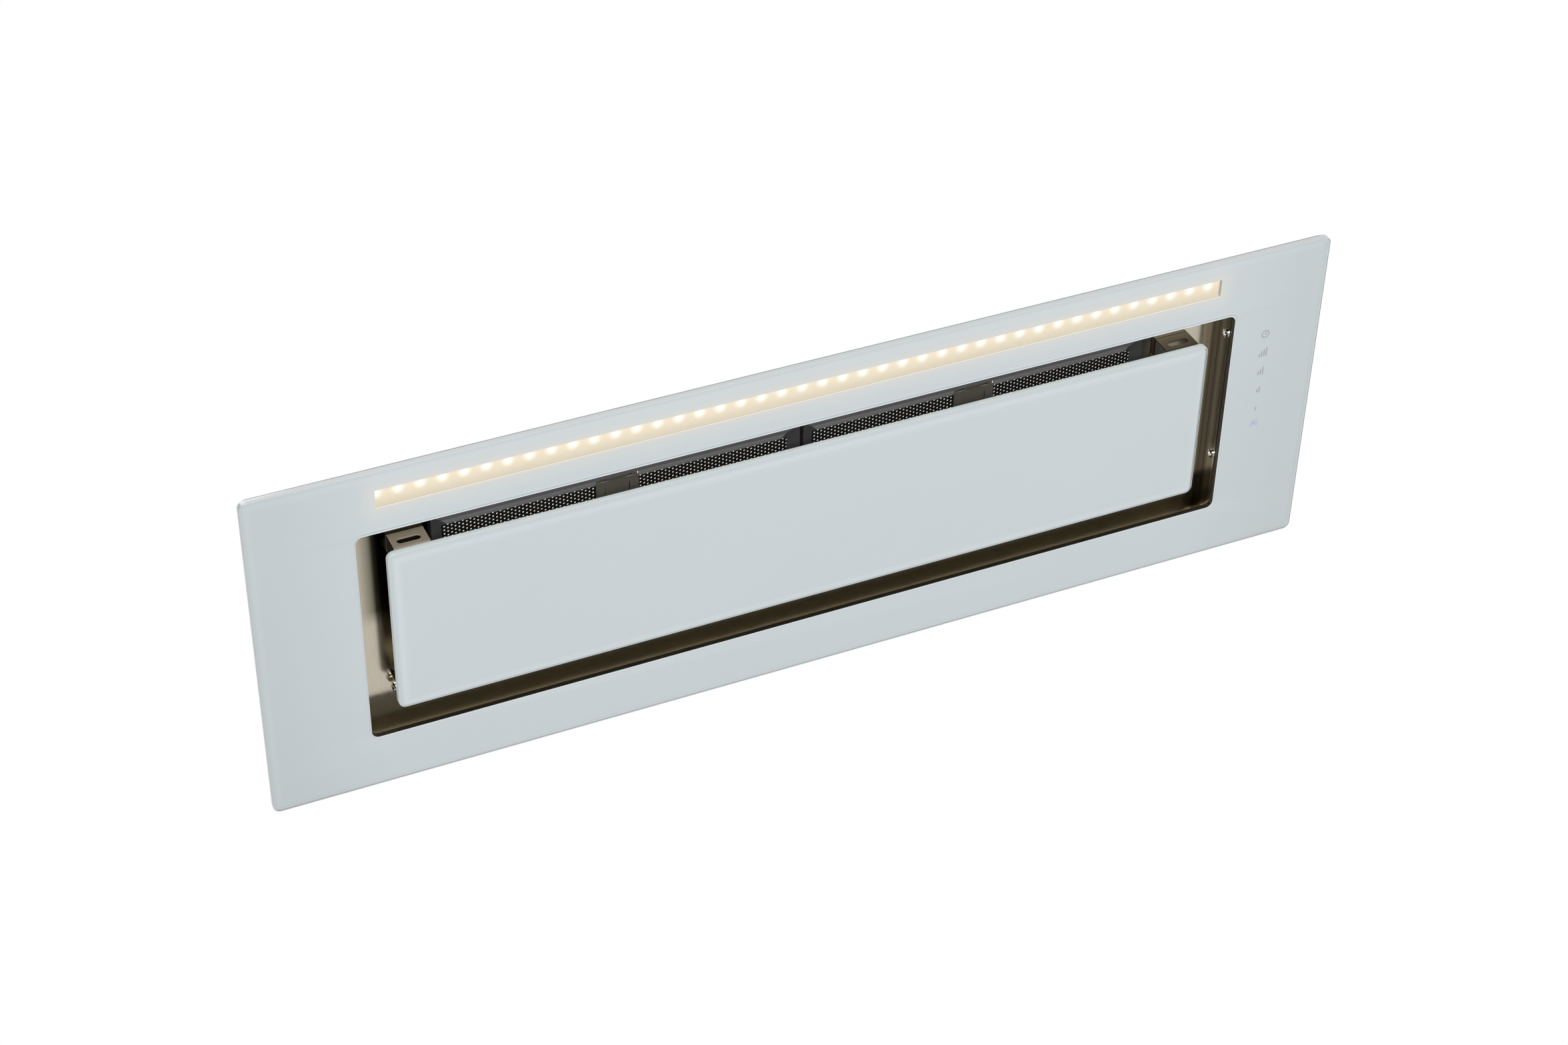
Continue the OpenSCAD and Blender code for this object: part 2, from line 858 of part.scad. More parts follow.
// Cassette frame: a thin folded border, open in the middle, with a bevelled lower face
module filter_border() {
    inner_l = filter_l - 2 * border_run;
    inner_w = filter_w - 2 * border_run;
    hollow_l = filter_l - 2 * border_t;
    hollow_w = filter_w - 2 * border_t;
    difference() {
        linear_extrude(filter_h) square([filter_l, filter_w], center = true);
        tapered_space(filter_l, filter_w, border_run, border_rise);
        translate([0, 0, -overrun])
            linear_extrude(filter_h + 2 * overrun) square([inner_l, inner_w], center = true);
        difference() {
            translate([0, 0, border_t])
                linear_extrude(filter_h - 2 * border_t) square([hollow_l, hollow_w], center = true);
            translate([0, 0, border_t]) tapered_space(filter_l, filter_w, border_run, border_rise);
        }
    }
}

module filter_frame() {
    difference() {
        union() {
            translate([0, filter_mid_y, filter_z]) filter_border();
            tab_places() block([-tab_w / 2, -border_t, 0], [tab_w / 2, tab_l, tab_t]);
        }
        tongue_way(filter_front_y, border_t);
    }
}

// Flat layer that lies in the border of one cassette
module filter_layer(z0, z1) {
    side = border_t + layer_gap;
    translate([0, filter_mid_y, z0])
        linear_extrude(z1 - z0) square([filter_l - 2 * side, filter_w - 2 * side], center = true);
}

// Repeats its children at the four rivets of a latch plate
module rivet_places(z) {
    for (sx = [-1, 1], y = [plate_y + rivet_inset, plate_y + plate_l - rivet_inset])
        translate([sx * rivet_x, y, z]) children();
}

module filter_face() {
    difference() {
        filter_layer(face_z, cup_z);
        block([-window_w / 2, window_y, face_z - overrun], [window_w / 2, window_end_y, cup_z + overrun]);
        rivet_places(face_z - overrun) cylinder(r = rivet_r + thread_gap, h = face_t + 2 * overrun);
    }
}

module filter_mesh() {
    z0 = cup_z + mesh_gap;
    z1 = filter_top_z - border_t - back_t - 2 * mesh_gap;
    room_x = rivet_x + rivet_inset + seat_gap;
    difference() {
        filter_layer(z0, z1);
        block([-room_x, filter_front_y, z0 - overrun],
            [room_x, cup_end_y + cup_t + rivet_inset, cup_z + cup_h + seat_gap]);
    }
}

module filter_back() {
    z1 = filter_top_z - border_t - mesh_gap;
    filter_layer(z1 - back_t, z1);
}

// Plate that shows in the filter, with the cup behind it that guides the latch
module latch_plate() {
    z0 = face_z - plate_t;
    flange_x = rivet_x + rivet_inset;
    cup_x = cup_w / 2;
    difference() {
        union() {
            block([-plate_w / 2, plate_y, z0], [plate_w / 2, plate_y + plate_l, face_z]);
            rivet_places(z0 + cup_t) cylinder(r = rivet_r, h = plate_t + face_t);
            block([-flange_x, cup_front_y, cup_z], [flange_x, cup_end_y + cup_t, cup_z + cup_t]);
            block([-cup_x - cup_t, cup_front_y, cup_z], [cup_x + cup_t, cup_end_y + cup_t, cup_z + cup_h]);
        }
        block([-cup_x, cup_front_y - overrun, cup_z - overrun / 2],
            [cup_x, cup_end_y, cup_z + cup_h - cup_t]);
        block([-window_w / 2, window_y, z0 - overrun], [window_w / 2, window_end_y, cup_z + overrun]);
    }
}

// Sliding bolt with its finger pad
module latch_slider() {
    pad_x = window_w / 2 - pad_gap;
    pad_end_y = pad_y + pad_l;
    top_z = tongue_z + tongue_t;
    block([-tongue_w / 2, filter_front_y - tongue_reach, tongue_z], [tongue_w / 2, pad_end_y, top_z]);
    block([-pad_x, pad_y, face_z - plate_t / 2], [pad_x, pad_end_y, top_z]);
    block([-tongue_w / 2, pad_end_y - spring_lug_t, tongue_z],
        [tongue_w / 2, pad_end_y, cup_z + cup_h - cup_t - seat_gap]);
}

module latch_spring() {
    translate([0, pad_y + pad_l, cup_z + (cup_h - cup_t) / 2])
        rotate([-90, 0, 0]) coil(spring_r, spring_wire_r, spring_turns, cup_end_y - pad_y - pad_l);
}

module at_left_filter() {
    translate([-filter_mid_x, 0, 0]) children();
}

module at_right_filter() {
    translate([filter_mid_x, 0, 0]) children();
}

module filter_frame_left() {
    color("#55585c") at_left_filter() filter_frame();
}

module filter_frame_right() {
    color("#55585c") at_right_filter() filter_frame();
}

module filter_face_left() {
    color("#3c3d3f") at_left_filter() filter_face();
}

module filter_face_right() {
    color("#3c3d3f") at_right_filter() filter_face();
}

module filter_mesh_left() {
    color("#c8c9cb") at_left_filter() filter_mesh();
}

module filter_mesh_right() {
    color("#c8c9cb") at_right_filter() filter_mesh();
}

module filter_back_left() {
    color("#6a6c70") at_left_filter() filter_back();
}

module filter_back_right() {
    color("#6a6c70") at_right_filter() filter_back();
}

module latch_plate_left() {
    color("#8a8474") at_left_filter() latch_plate();
}

module latch_plate_right() {
    color("#8a8474") at_right_filter() latch_plate();
}

module latch_slider_left() {
    color("#7d776a") at_left_filter() latch_slider();
}

module latch_slider_right() {
    color("#7d776a") at_right_filter() latch_slider();
}

module latch_spring_left() {
    color("#c0c2c6") at_left_filter() latch_spring();
}

module latch_spring_right() {
    color("#c0c2c6") at_right_filter() latch_spring();
}

// Plenum

// Screws through the foot of the plenum, along the ends and the rear
module foot_screw_places() {
    for (sx = [-1, 1], y = [shell_front_y + shell_foot, shell_mid_y, shell_rear_y - shell_foot])
        translate([sx * (shell_x + shell_foot / 2), y, floor_z]) children();
    for (i = [0:rear_screw_count - 1])
        translate([
            (2 * i / (rear_screw_count - 1) - 1) * shell_x * rear_screw_share,
            shell_rear_y + shell_foot / 2,
            floor_z
        ])
            children();
}

// Screws through the roof of the plenum
module roof_screw_places() {
    for (sx = [-1, 1], y = [shell_front_y + shell_rim / 2, shell_rear_y - shell_rim / 2])
        translate([sx * (shell_x - shell_rim / 2), y, shell_top_z]) children();
    translate([0, shell_front_y + shell_rim / 2, shell_top_z]) children();
}

// Repeats its children at the two screws of one hanging bracket, pointing out of the end wall
module bracket_screw_places() {
    for (s = [-1, 1])
        translate([shell_x, shell_mid_y + s * hang_w / 4, hang_z - hang_leg / 2])
            rotate([0, 90, 0]) children();
}

module body_shell() {
    color("#aeb3b8")
        difference() {
            union() {
                block([-shell_x, shell_front_y, pan_top_z], [shell_x, shell_rear_y, shell_top_z]);
                block([-shell_x - shell_foot, shell_front_y - shell_foot, pan_top_z],
                    [shell_x + shell_foot, shell_rear_y + shell_foot, pan_top_z + shell_t]);
            }
            block([shell_t - shell_x, shell_front_y + shell_t, pan_top_z - overrun],
                [shell_x - shell_t, shell_rear_y - shell_t, shell_top_z - shell_t]);
            block([shell_rim - shell_x, shell_front_y + shell_rim, shell_top_z - shell_t - overrun],
                [shell_x - shell_rim, shell_rear_y - shell_rim, shell_top_z + overrun]);
            foot_screw_places() screw_bore(sheet_t - overrun, shell_t + 2 * overrun);
            roof_screw_places() screw_bore(-shell_t - overrun, shell_t + 2 * overrun);
            both_ends() bracket_screw_places() screw_bore(-shell_t - overrun, shell_t + 2 * overrun);
        }
}

module body_screws() {
    color("#d8dadd")
        foot_screw_places()
            translate([0, 0, sheet_t + shell_t]) pan_screw(sheet_t + shell_t + screw_reach);
}

module body_top() {
    color("#aeb3b8")
        difference() {
            block([-shell_x, shell_front_y, shell_top_z], [shell_x, shell_rear_y, roof_z]);
            translate([blower_x, blower_y, shell_top_z - overrun])
                cylinder(r = inlet_r + 2 * inlet_t + seat_gap, h = shell_t + 2 * overrun);
            roof_screw_places() screw_bore(-overrun, shell_t + 2 * overrun);
            blower_screw_places() screw_bore(-shell_t - overrun, shell_t + 2 * overrun);
        }
}

module case_screws() {
    color("#d8dadd") {
        roof_screw_places() translate([0, 0, shell_t]) pan_screw(2 * shell_t + screw_reach);
        blower_screw_places() translate([0, 0, foot_t]) pan_screw(foot_t + shell_t + screw_reach);
        both_ends()
            bracket_screw_places() translate([0, 0, hang_t]) pan_screw(hang_t + shell_t + screw_reach);
    }
}

// Blower

// Radius of the scroll at an angle round it
function scroll_at(a) = scroll_r + scroll_growth * a / scroll_turn;

// Plan of the blower: a scroll, its outlet and the chamber under the duct collar, drawn in by an inset
module blower_plan(inset) {
    spiral = [for (a = [0:scroll_step:scroll_turn]) (scroll_at(a) - inset) * [cos(a), sin(a)]];
    duct_l = collar_x - chamber_half - blower_x + 2 * inset;
    front_y = blower_y - scroll_end_r + inset;
    translate([blower_x, blower_y]) polygon(concat(spiral, [[scroll_r - inset, inset - scroll_end_r]]));
    translate([blower_x, front_y]) square([duct_l, outlet_w - 2 * inset]);
    translate([collar_x - chamber_half + inset, front_y])
        square([2 * (chamber_half - inset), chamber_rear_y - inset - front_y]);
}

// Feet of the blower housing: three on the collar chamber and one on the scroll
module blower_screw_places() {
    foot_y = chamber_half / 2;
    for (at = [
        [collar_x + chamber_half + foot_l / 2, collar_y - foot_y],
        [collar_x + chamber_half + foot_l / 2, collar_y + foot_y],
        [collar_x - chamber_half - foot_l / 2, collar_y + foot_y],
        [blower_x - scroll_at(half_turn) - foot_l / 2, blower_y]
    ])
        translate([at[0], at[1], roof_z]) children();
}

module blower_housing() {
    foot_x = foot_l / 2 + 2 * shell_t;
    color("#9aa0a6")
        difference() {
            union() {
                translate([0, 0, roof_z]) linear_extrude(blower_h) blower_plan(0);
                blower_screw_places() block([-foot_x, -foot_l / 2, 0], [foot_x, foot_l / 2, foot_t]);
            }
            translate([0, 0, roof_z - overrun]) linear_extrude(blower_h + 2 * overrun) blower_plan(shell_t);
            blower_screw_places() screw_bore(-overrun, foot_t + 2 * overrun);
        }
}

module blower_cover() {
    color("#9aa0a6")
        difference() {
            translate([0, 0, blower_top_z]) linear_extrude(shell_t) blower_plan(0);
            at_motor(blower_top_z - overrun) cylinder(r = shaft_r + shaft_gap, h = shell_t + 2 * overrun);
            at_collar(blower_top_z - overrun) cylinder(r = collar_bore_r, h = shell_t + 2 * overrun);
        }
}

// Bell-mouth that leads the air into the impeller
module inlet_ring() {
    mouth_r = inlet_r + inlet_t;
    color("#2f3133")
        at_motor(roof_z)
            rotate_extrude()
                polygon([
                    [mouth_r, -inlet_drop],
                    [mouth_r + inlet_t, -inlet_drop],
                    [inlet_r + 2 * inlet_t, 0],
                    [inlet_r + inlet_flange, 0],
                    [inlet_r + inlet_flange, inlet_t],
                    [mouth_r, inlet_t],
                    [inlet_r + inlet_t / 2, inlet_lift],
                    [inlet_r - inlet_t / 2, inlet_lift],
                    [inlet_r, 0]
                ]);
}

module impeller() {
    r = impeller_d / 2;
    chord = blade_depth - 2 * blade_t;
    color("#4a4d50")
        at_motor(impeller_z) {
            for (i = [0:blade_count - 1])
                rotate([0, 0, i * 360 / blade_count])
                    translate([r - blade_depth / 2, 0, ring_t / 2])
                        rotate([0, 0, blade_lean])
                            translate([-chord / 2, -blade_t / 2, 0])
                                cube([chord, blade_t, impeller_h - ring_t / 2 - back_plate_t / 2]);
            difference() {
                cylinder(r = r, h = ring_t);
                translate([0, 0, -overrun]) cylinder(r = r - blade_depth, h = ring_t + 2 * overrun);
            }
            difference() {
                union() {
                    translate([0, 0, impeller_h - back_plate_t]) cylinder(r = r, h = back_plate_t);
                    translate([0, 0, impeller_h - hub_h]) cylinder(r = hub_r, h = hub_h);
                }
                translate([0, 0, impeller_h - hub_h - overrun])
                    cylinder(r = shaft_r + thread_gap, h = hub_h + 2 * overrun);
            }
        }
}

// Motor

module at_motor(z) {
    translate([blower_x, blower_y, z]) children();
}

module motor_shell() {
    r = motor_d / 2;
    color("#5b5f64")
        difference() {
            union() {
                at_motor(cover_z) cylinder(r = r, h = motor_h);
                at_motor(cover_z) cylinder(r = r + motor_foot, h = motor_foot_t);
            }
            difference() {
                at_motor(motor_room_z) cylinder(r = r - motor_wall, h = motor_roof_z - motor_room_z);
                at_motor(high_bearing_z) cylinder(r = bearing_r + motor_wall, h = bearing_h);
            }
            at_motor(cover_z - overrun) cylinder(r = shaft_r + shaft_gap / 4, h = motor_h - motor_wall);
            at_motor(low_bearing_z) cylinder(r = bearing_r + thread_gap, h = bearing_h + overrun);
            at_motor(high_bearing_z - overrun) cylinder(r = bearing_r + thread_gap, h = bearing_h + overrun);
        }
}

module motor_bearings() {
    color("#b8bbc0")
        for (z = [low_bearing_z, high_bearing_z])
            at_motor(z)
                difference() {
                    cylinder(r = bearing_r, h = bearing_h);
                    translate([0, 0, -overrun])
                        cylinder(r = shaft_r + running_gap, h = bearing_h + 2 * overrun);
                }
}

module motor_stator() {
    r = motor_d / 2 - motor_wall - thread_gap;
    color("#a86b3c")
        at_motor(stator_z)
            difference() {
                cylinder(r = r, h = stator_h);
                translate([0, 0, -overrun]) cylinder(r = r - stator_depth, h = stator_h + 2 * overrun);
            }
}

module motor_rotor() {
    r = motor_d / 2 - motor_wall - stator_depth - rotor_gap;
    color("#85888d")
        at_motor(stator_z)
            difference() {
                cylinder(r = r, h = stator_h);
                translate([0, 0, -overrun]) cylinder(r = shaft_r + thread_gap, h = stator_h + 2 * overrun);
            }
}

module motor_shaft() {
    z0 = impeller_top_z - hub_h;
    color("#c7cacf") at_motor(z0) cylinder(r = shaft_r, h = motor_roof_z - motor_wall / 2 - z0);
}

// Duct collar and damper

module at_collar(z) {
    translate([collar_x, collar_y, z]) children();
}

// Disc or bore along Y, centred
module disc_y(r, l) {
    rotate([90, 0, 0]) cylinder(r = r, h = l, center = true);
}

module duct_collar() {
    color("#26282a")
        difference() {
            union() {
                at_collar(cover_z) cylinder(r = collar_r, h = collar_h);
                at_collar(cover_z) cylinder(r = collar_r + collar_flange, h = shell_t);
            }
            difference() {
                at_collar(cover_z - overrun) cylinder(r = collar_bore_r, h = collar_h + 2 * overrun);
                difference() {
                    at_collar(stop_z) cylinder(r = collar_bore_r + shell_t / 2, h = stop_h);
                    at_collar(stop_z - overrun)
                        cylinder(r = collar_bore_r - stop_w, h = stop_h + 2 * overrun);
                    at_collar(damper_z) disc_y(damper_pin_r + stop_pin_gap, collar_d);
                }
            }
            at_collar(damper_z) disc_y(damper_pin_r + thread_gap, collar_d + 2 * overrun);
        }
}

module damper_pin() {
    color("#c7cacf") at_collar(damper_z) disc_y(damper_pin_r, collar_d);
}

// One flap: half a disc on the side of negative X, with two barrels on the pin
module damper_flap(barrel_y) {
    r = collar_bore_r - flap_gap;
    inner_x = barrel_r + barrel_gap;
    difference() {
        union() {
            difference() {
                cylinder(r = r, h = flap_t, center = true);
                block([-inner_x, -r - overrun, -flap_t], [r + overrun, r + overrun, flap_t]);
            }
            for (s = [-1, 1])
                translate([0, s * barrel_y, 0]) {
                    block([-inner_x - barrel_r, -barrel_l / 2, -flap_t / 2], [0, barrel_l / 2, flap_t / 2]);
                    disc_y(barrel_r, barrel_l);
                }
        }
        disc_y(damper_pin_r + running_gap, collar_d);
    }
}

module damper_flap_left() {
    color("#3d3f42") at_collar(damper_z) damper_flap(barrel_ys[0]);
}

module damper_flap_right() {
    color("#3d3f42") at_collar(damper_z) mirror([1, 0, 0]) damper_flap(barrel_ys[1]);
}

// Control box

module at_box(x, y, z) {
    translate([box_x + x, box_y + y, z]) children();
}

module control_box() {
    color("#d9dadb")
        difference() {
            union() {
                difference() {
                    at_box(0, 0, roof_z) cube([box_l, box_w, box_h]);
                    at_box(box_t, box_t, roof_z + box_t) cube([box_l - 2 * box_t, box_w - 2 * box_t, box_h]);
                }
                for (x = [post_inset, box_l - post_inset], y = [post_inset, box_w - post_inset])
                    at_box(x, y, roof_z) cylinder(r = post_r, h = box_t + post_h);
            }
            at_box(-overrun, box_w / 2, roof_z + gland_lift)
                disc_x(gland_r + thread_gap, box_t + 2 * overrun);
        }
}

module control_lid() {
    lap = box_t + seat_gap;
    color("#d9dadb") {
        at_box(0, 0, roof_z + box_h) cube([box_l, box_w, lid_t]);
        difference() {
            at_box(lap, lap, roof_z + box_h - lid_lap) cube([box_l - 2 * lap, box_w - 2 * lap, lid_lap]);
            at_box(lap + lid_t, lap + lid_t, roof_z + box_h - lid_lap - overrun)
                cube([box_l - 2 * (lap + lid_t), box_w - 2 * (lap + lid_t), lid_lap + overrun]);
        }
    }
}

module control_board() {
    edge = box_t + board_gap;
    color("#1f6b42")
        at_box(edge, edge, parts_z - board_t) cube([box_l - 2 * edge, box_w - 2 * edge, board_t]);
}

// Row of screw terminals
module terminal_block() {
    color("#2d6e4e")
        at_box(terminal_at[0], terminal_at[1], parts_z)
            difference() {
                cube([terminal_size[0], terminal_count * terminal_size[1], terminal_size[2]]);
                for (i = [0:terminal_count - 1])
                    translate([
                        terminal_size[0] / 2,
                        (i + 0.5) * terminal_size[1],
                        terminal_size[2] - terminal_screw_depth
                    ])
                        cylinder(r = terminal_screw_r, h = terminal_screw_depth + overrun);
            }
}

module led_driver() {
    color("#f0f0ee") at_box(driver_at[0], driver_at[1], parts_z) cube(driver_size);
}

module capacitor() {
    color("#e8e6df")
        at_box(capacitor_at[0], capacitor_at[1], parts_z) cylinder(r = capacitor_r, h = capacitor_h);
}

module cable_gland() {
    color("#3a3c3f")
        at_box(0, box_w / 2, roof_z + gland_lift)
            rotate([0, -90, 0])
                difference() {
                    union() {
                        translate([0, 0, -gland_in]) cylinder(r = gland_r, h = gland_in + gland_out);
                        cylinder(r = gland_hex_r, h = gland_hex_h, $fn = 6);
                        translate([0, 0, -box_t - gland_nut_h])
                            cylinder(r = gland_hex_r, h = gland_nut_h, $fn = 6);
                    }
                    translate([0, 0, -gland_in - overrun])
                        cylinder(r = gland_bore_r, h = gland_in + gland_out + 2 * overrun);
                }
}

// Hanging brackets

module hanging_bracket() {
    y0 = shell_mid_y - hang_w / 2;
    y1 = shell_mid_y + hang_w / 2;
    difference() {
        union() {
            block([shell_x, y0, hang_z - hang_leg], [shell_x + hang_t, y1, hang_z]);
            block([shell_x, y0, hang_z - hang_t], [shell_x + hang_ear, y1, hang_z]);
        }
        for (s = [-1, 1])
            translate([hang_slot_x, shell_mid_y + s * hang_slot_pitch / 2, hang_z - hang_t - overrun])
                linear_extrude(hang_t + 2 * overrun) slot_outline(hang_slot_l, hang_slot_w);
        bracket_screw_places() screw_bore(-overrun, hang_t + 2 * overrun);
    }
}

module hanging_bracket_left() {
    color("#8f9499") mirror([1, 0, 0]) hanging_bracket();
}

module hanging_bracket_right() {
    color("#8f9499") hanging_bracket();
}

face_glass();
lamp_window();
glass_tape();
glass_carrier();
rim_seal();
lamp_channel();
lamp_board();
lamp_leds();
touch_board();
touch_pads();
touch_cover();
recess_pan();
filter_well();
wall_screws();
catch_magnets();
centre_glass();
panel_tray();
panel_bracket_left();
panel_bracket_right();
hinge_screws();
filter_frame_left();
filter_frame_right();
filter_face_left();
filter_face_right();
filter_mesh_left();
filter_mesh_right();
filter_back_left();
filter_back_right();
latch_plate_left();
latch_plate_right();
latch_slider_left();
latch_slider_right();
latch_spring_left();
latch_spring_right();
body_shell();
body_screws();
body_top();
case_screws();
inlet_ring();
blower_housing();
blower_cover();
impeller();
motor_shell();
motor_stator();
motor_rotor();
motor_shaft();
motor_bearings();
duct_collar();
damper_flap_left();
damper_flap_right();
damper_pin();
control_box();
control_lid();
control_board();
terminal_block();
led_driver();
capacitor();
cable_gland();
hanging_bracket_left();
hanging_bracket_right();
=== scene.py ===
"""Range hood insert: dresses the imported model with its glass, lamp, key symbols and perforated filters.

Lengths are in metres, in the model's own frame: X along the glass, Y from the lamp side to the hinge
side, Z up into the cabinet, and zero in the middle of the lower face of the glass. Shade boxes with their
soft edges, the stops of edge lines and the camera's sensor are in millimetres.
"""

import math

import bmesh
import bpy
from mathutils import Matrix, Vector


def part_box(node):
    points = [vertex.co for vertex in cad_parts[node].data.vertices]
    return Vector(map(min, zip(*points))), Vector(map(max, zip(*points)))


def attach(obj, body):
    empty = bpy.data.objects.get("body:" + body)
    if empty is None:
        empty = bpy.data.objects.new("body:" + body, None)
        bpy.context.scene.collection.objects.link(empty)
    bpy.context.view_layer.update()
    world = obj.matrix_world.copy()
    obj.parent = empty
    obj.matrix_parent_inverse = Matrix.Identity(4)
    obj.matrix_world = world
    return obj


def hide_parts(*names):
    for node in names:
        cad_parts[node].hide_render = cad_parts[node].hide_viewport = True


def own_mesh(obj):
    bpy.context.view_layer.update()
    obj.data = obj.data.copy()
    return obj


MM = 0.001
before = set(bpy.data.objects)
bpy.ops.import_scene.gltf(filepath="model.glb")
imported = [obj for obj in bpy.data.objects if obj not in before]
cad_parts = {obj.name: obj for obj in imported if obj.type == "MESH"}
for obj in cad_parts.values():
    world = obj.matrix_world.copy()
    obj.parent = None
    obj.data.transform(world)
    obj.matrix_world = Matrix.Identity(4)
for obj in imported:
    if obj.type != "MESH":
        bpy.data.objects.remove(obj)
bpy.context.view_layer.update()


# Meshes

# Handle of a quarter circle on a curve, as a part of its radius
CIRCLE_HANDLE = 0.5523
CURVE_STEPS = 8
EDGE_STEPS = 3
MERGE_GAP = 0.005 * MM
SMOOTH_ANGLE = 35


def box_of(node):
    """Lowest and highest corner of a CAD node."""
    low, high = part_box(node)
    return Vector(low), Vector(high)


def finished(name, bm, finishes, body, smooth_angle=None):
    """Turns a bmesh into a piece that rides on a body, with one finish for each material index."""
    bmesh.ops.recalc_face_normals(bm, faces=bm.faces)
    mesh = bpy.data.meshes.new(name)
    bm.to_mesh(mesh)
    bm.free()
    for finish in finishes:
        mesh.materials.append(finish.material)
    if smooth_angle is not None:
        mesh.shade_smooth()
        mesh.set_sharp_from_angle(angle=math.radians(smooth_angle))
    piece = bpy.data.objects.new(name, mesh)
    bpy.context.scene.collection.objects.link(piece)
    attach(piece, body)
    return piece


def mesh_of(made):
    """A bmesh with the evaluated shape of an object, which is then removed."""
    depsgraph = bpy.context.evaluated_depsgraph_get()
    mesh = bpy.data.meshes.new_from_object(made.evaluated_get(depsgraph))
    bm = bmesh.new()
    bm.from_mesh(mesh)
    bpy.data.meshes.remove(mesh)
    bpy.data.objects.remove(made)
    return bm


def add_rounded_outline(curve, centre, size, radius, hole=False):
    """Adds a closed rounded rectangle to a flat curve, the other way round for a hole."""
    reach = CIRCLE_HANDLE * radius
    half_l = size[0] / 2
    half_w = size[1] / 2
    corners = [(1, 1), (-1, 1), (-1, -1), (1, -1)]
    points = []
    for number, (sx, sy) in enumerate(corners):
        on_side = Vector((sx * half_l, sy * (half_w - radius)))
        on_end = Vector((sx * (half_l - radius), sy * half_w))
        pair = [(on_side, Vector((0, sy * reach))), (on_end, Vector((sx * reach, 0)))]
        if number % 2:
            pair.reverse()
        points.append((pair[0][0], -pair[0][1], pair[0][1]))
        points.append((pair[1][0], pair[1][1], -pair[1][1]))
    if hole:
        points = [(at, after, before) for at, before, after in reversed(points)]
    spline = curve.splines.new("BEZIER")
    spline.bezier_points.add(len(points) - 1)
    spline.use_cyclic_u = True
    middle = Vector(centre)
    for point, (at, before, after) in zip(spline.bezier_points, points):
        point.handle_left_type = "FREE"
        point.handle_right_type = "FREE"
        point.co = (*(middle + at), 0)
        point.handle_left = (*(middle + at + before), 0)
        point.handle_right = (*(middle + at + after), 0)


def plate(name, outlines, low_z, high_z, edge_r):
    """Flat plate with rounded edges. An outline is (centre, size, corner radius), the outer one first."""
    curve = bpy.data.curves.new(name, "CURVE")
    curve.dimensions = "2D"
    curve.fill_mode = "BOTH"
    curve.resolution_u = CURVE_STEPS
    curve.extrude = (high_z - low_z) / 2 - edge_r
    curve.bevel_depth = edge_r
    curve.bevel_resolution = EDGE_STEPS
    curve.offset = -edge_r
    for number, (centre, size, radius) in enumerate(outlines):
        add_rounded_outline(curve, centre, size, radius, hole=number > 0)
    made = bpy.data.objects.new(name, curve)
    bpy.context.scene.collection.objects.link(made)
    bm = mesh_of(made)
    bmesh.ops.remove_doubles(bm, verts=bm.verts, dist=MERGE_GAP)
    bmesh.ops.translate(bm, verts=bm.verts, vec=(0, 0, (low_z + high_z) / 2))
    return bm


def block(bm, low, high, radius=0.0):
    """Adds a block between two corners, its edges rounded if a radius is given."""
    size = Vector(high) - Vector(low)
    place = Matrix.Translation((Vector(low) + Vector(high)) / 2) @ Matrix.Diagonal((*size, 1))
    verts = bmesh.ops.create_cube(bm, size=1, matrix=place)["verts"]
    if radius:
        edges = list(dict.fromkeys(edge for vert in verts for edge in vert.link_edges))
        bmesh.ops.bevel(
            bm, geom=edges, offset=radius, segments=EDGE_STEPS, profile=0.5, affect="EDGES", material=-1
        )


# Finishes

# Colour sockets of a Mix node: its other kinds have sockets of the same names
MIX_FIRST = 6
MIX_SECOND = 7
MIX_RESULT = 2

# The part of its range in which nearly all of a noise lies
NOISE_LOW = 0.3
NOISE_HIGH = 0.7


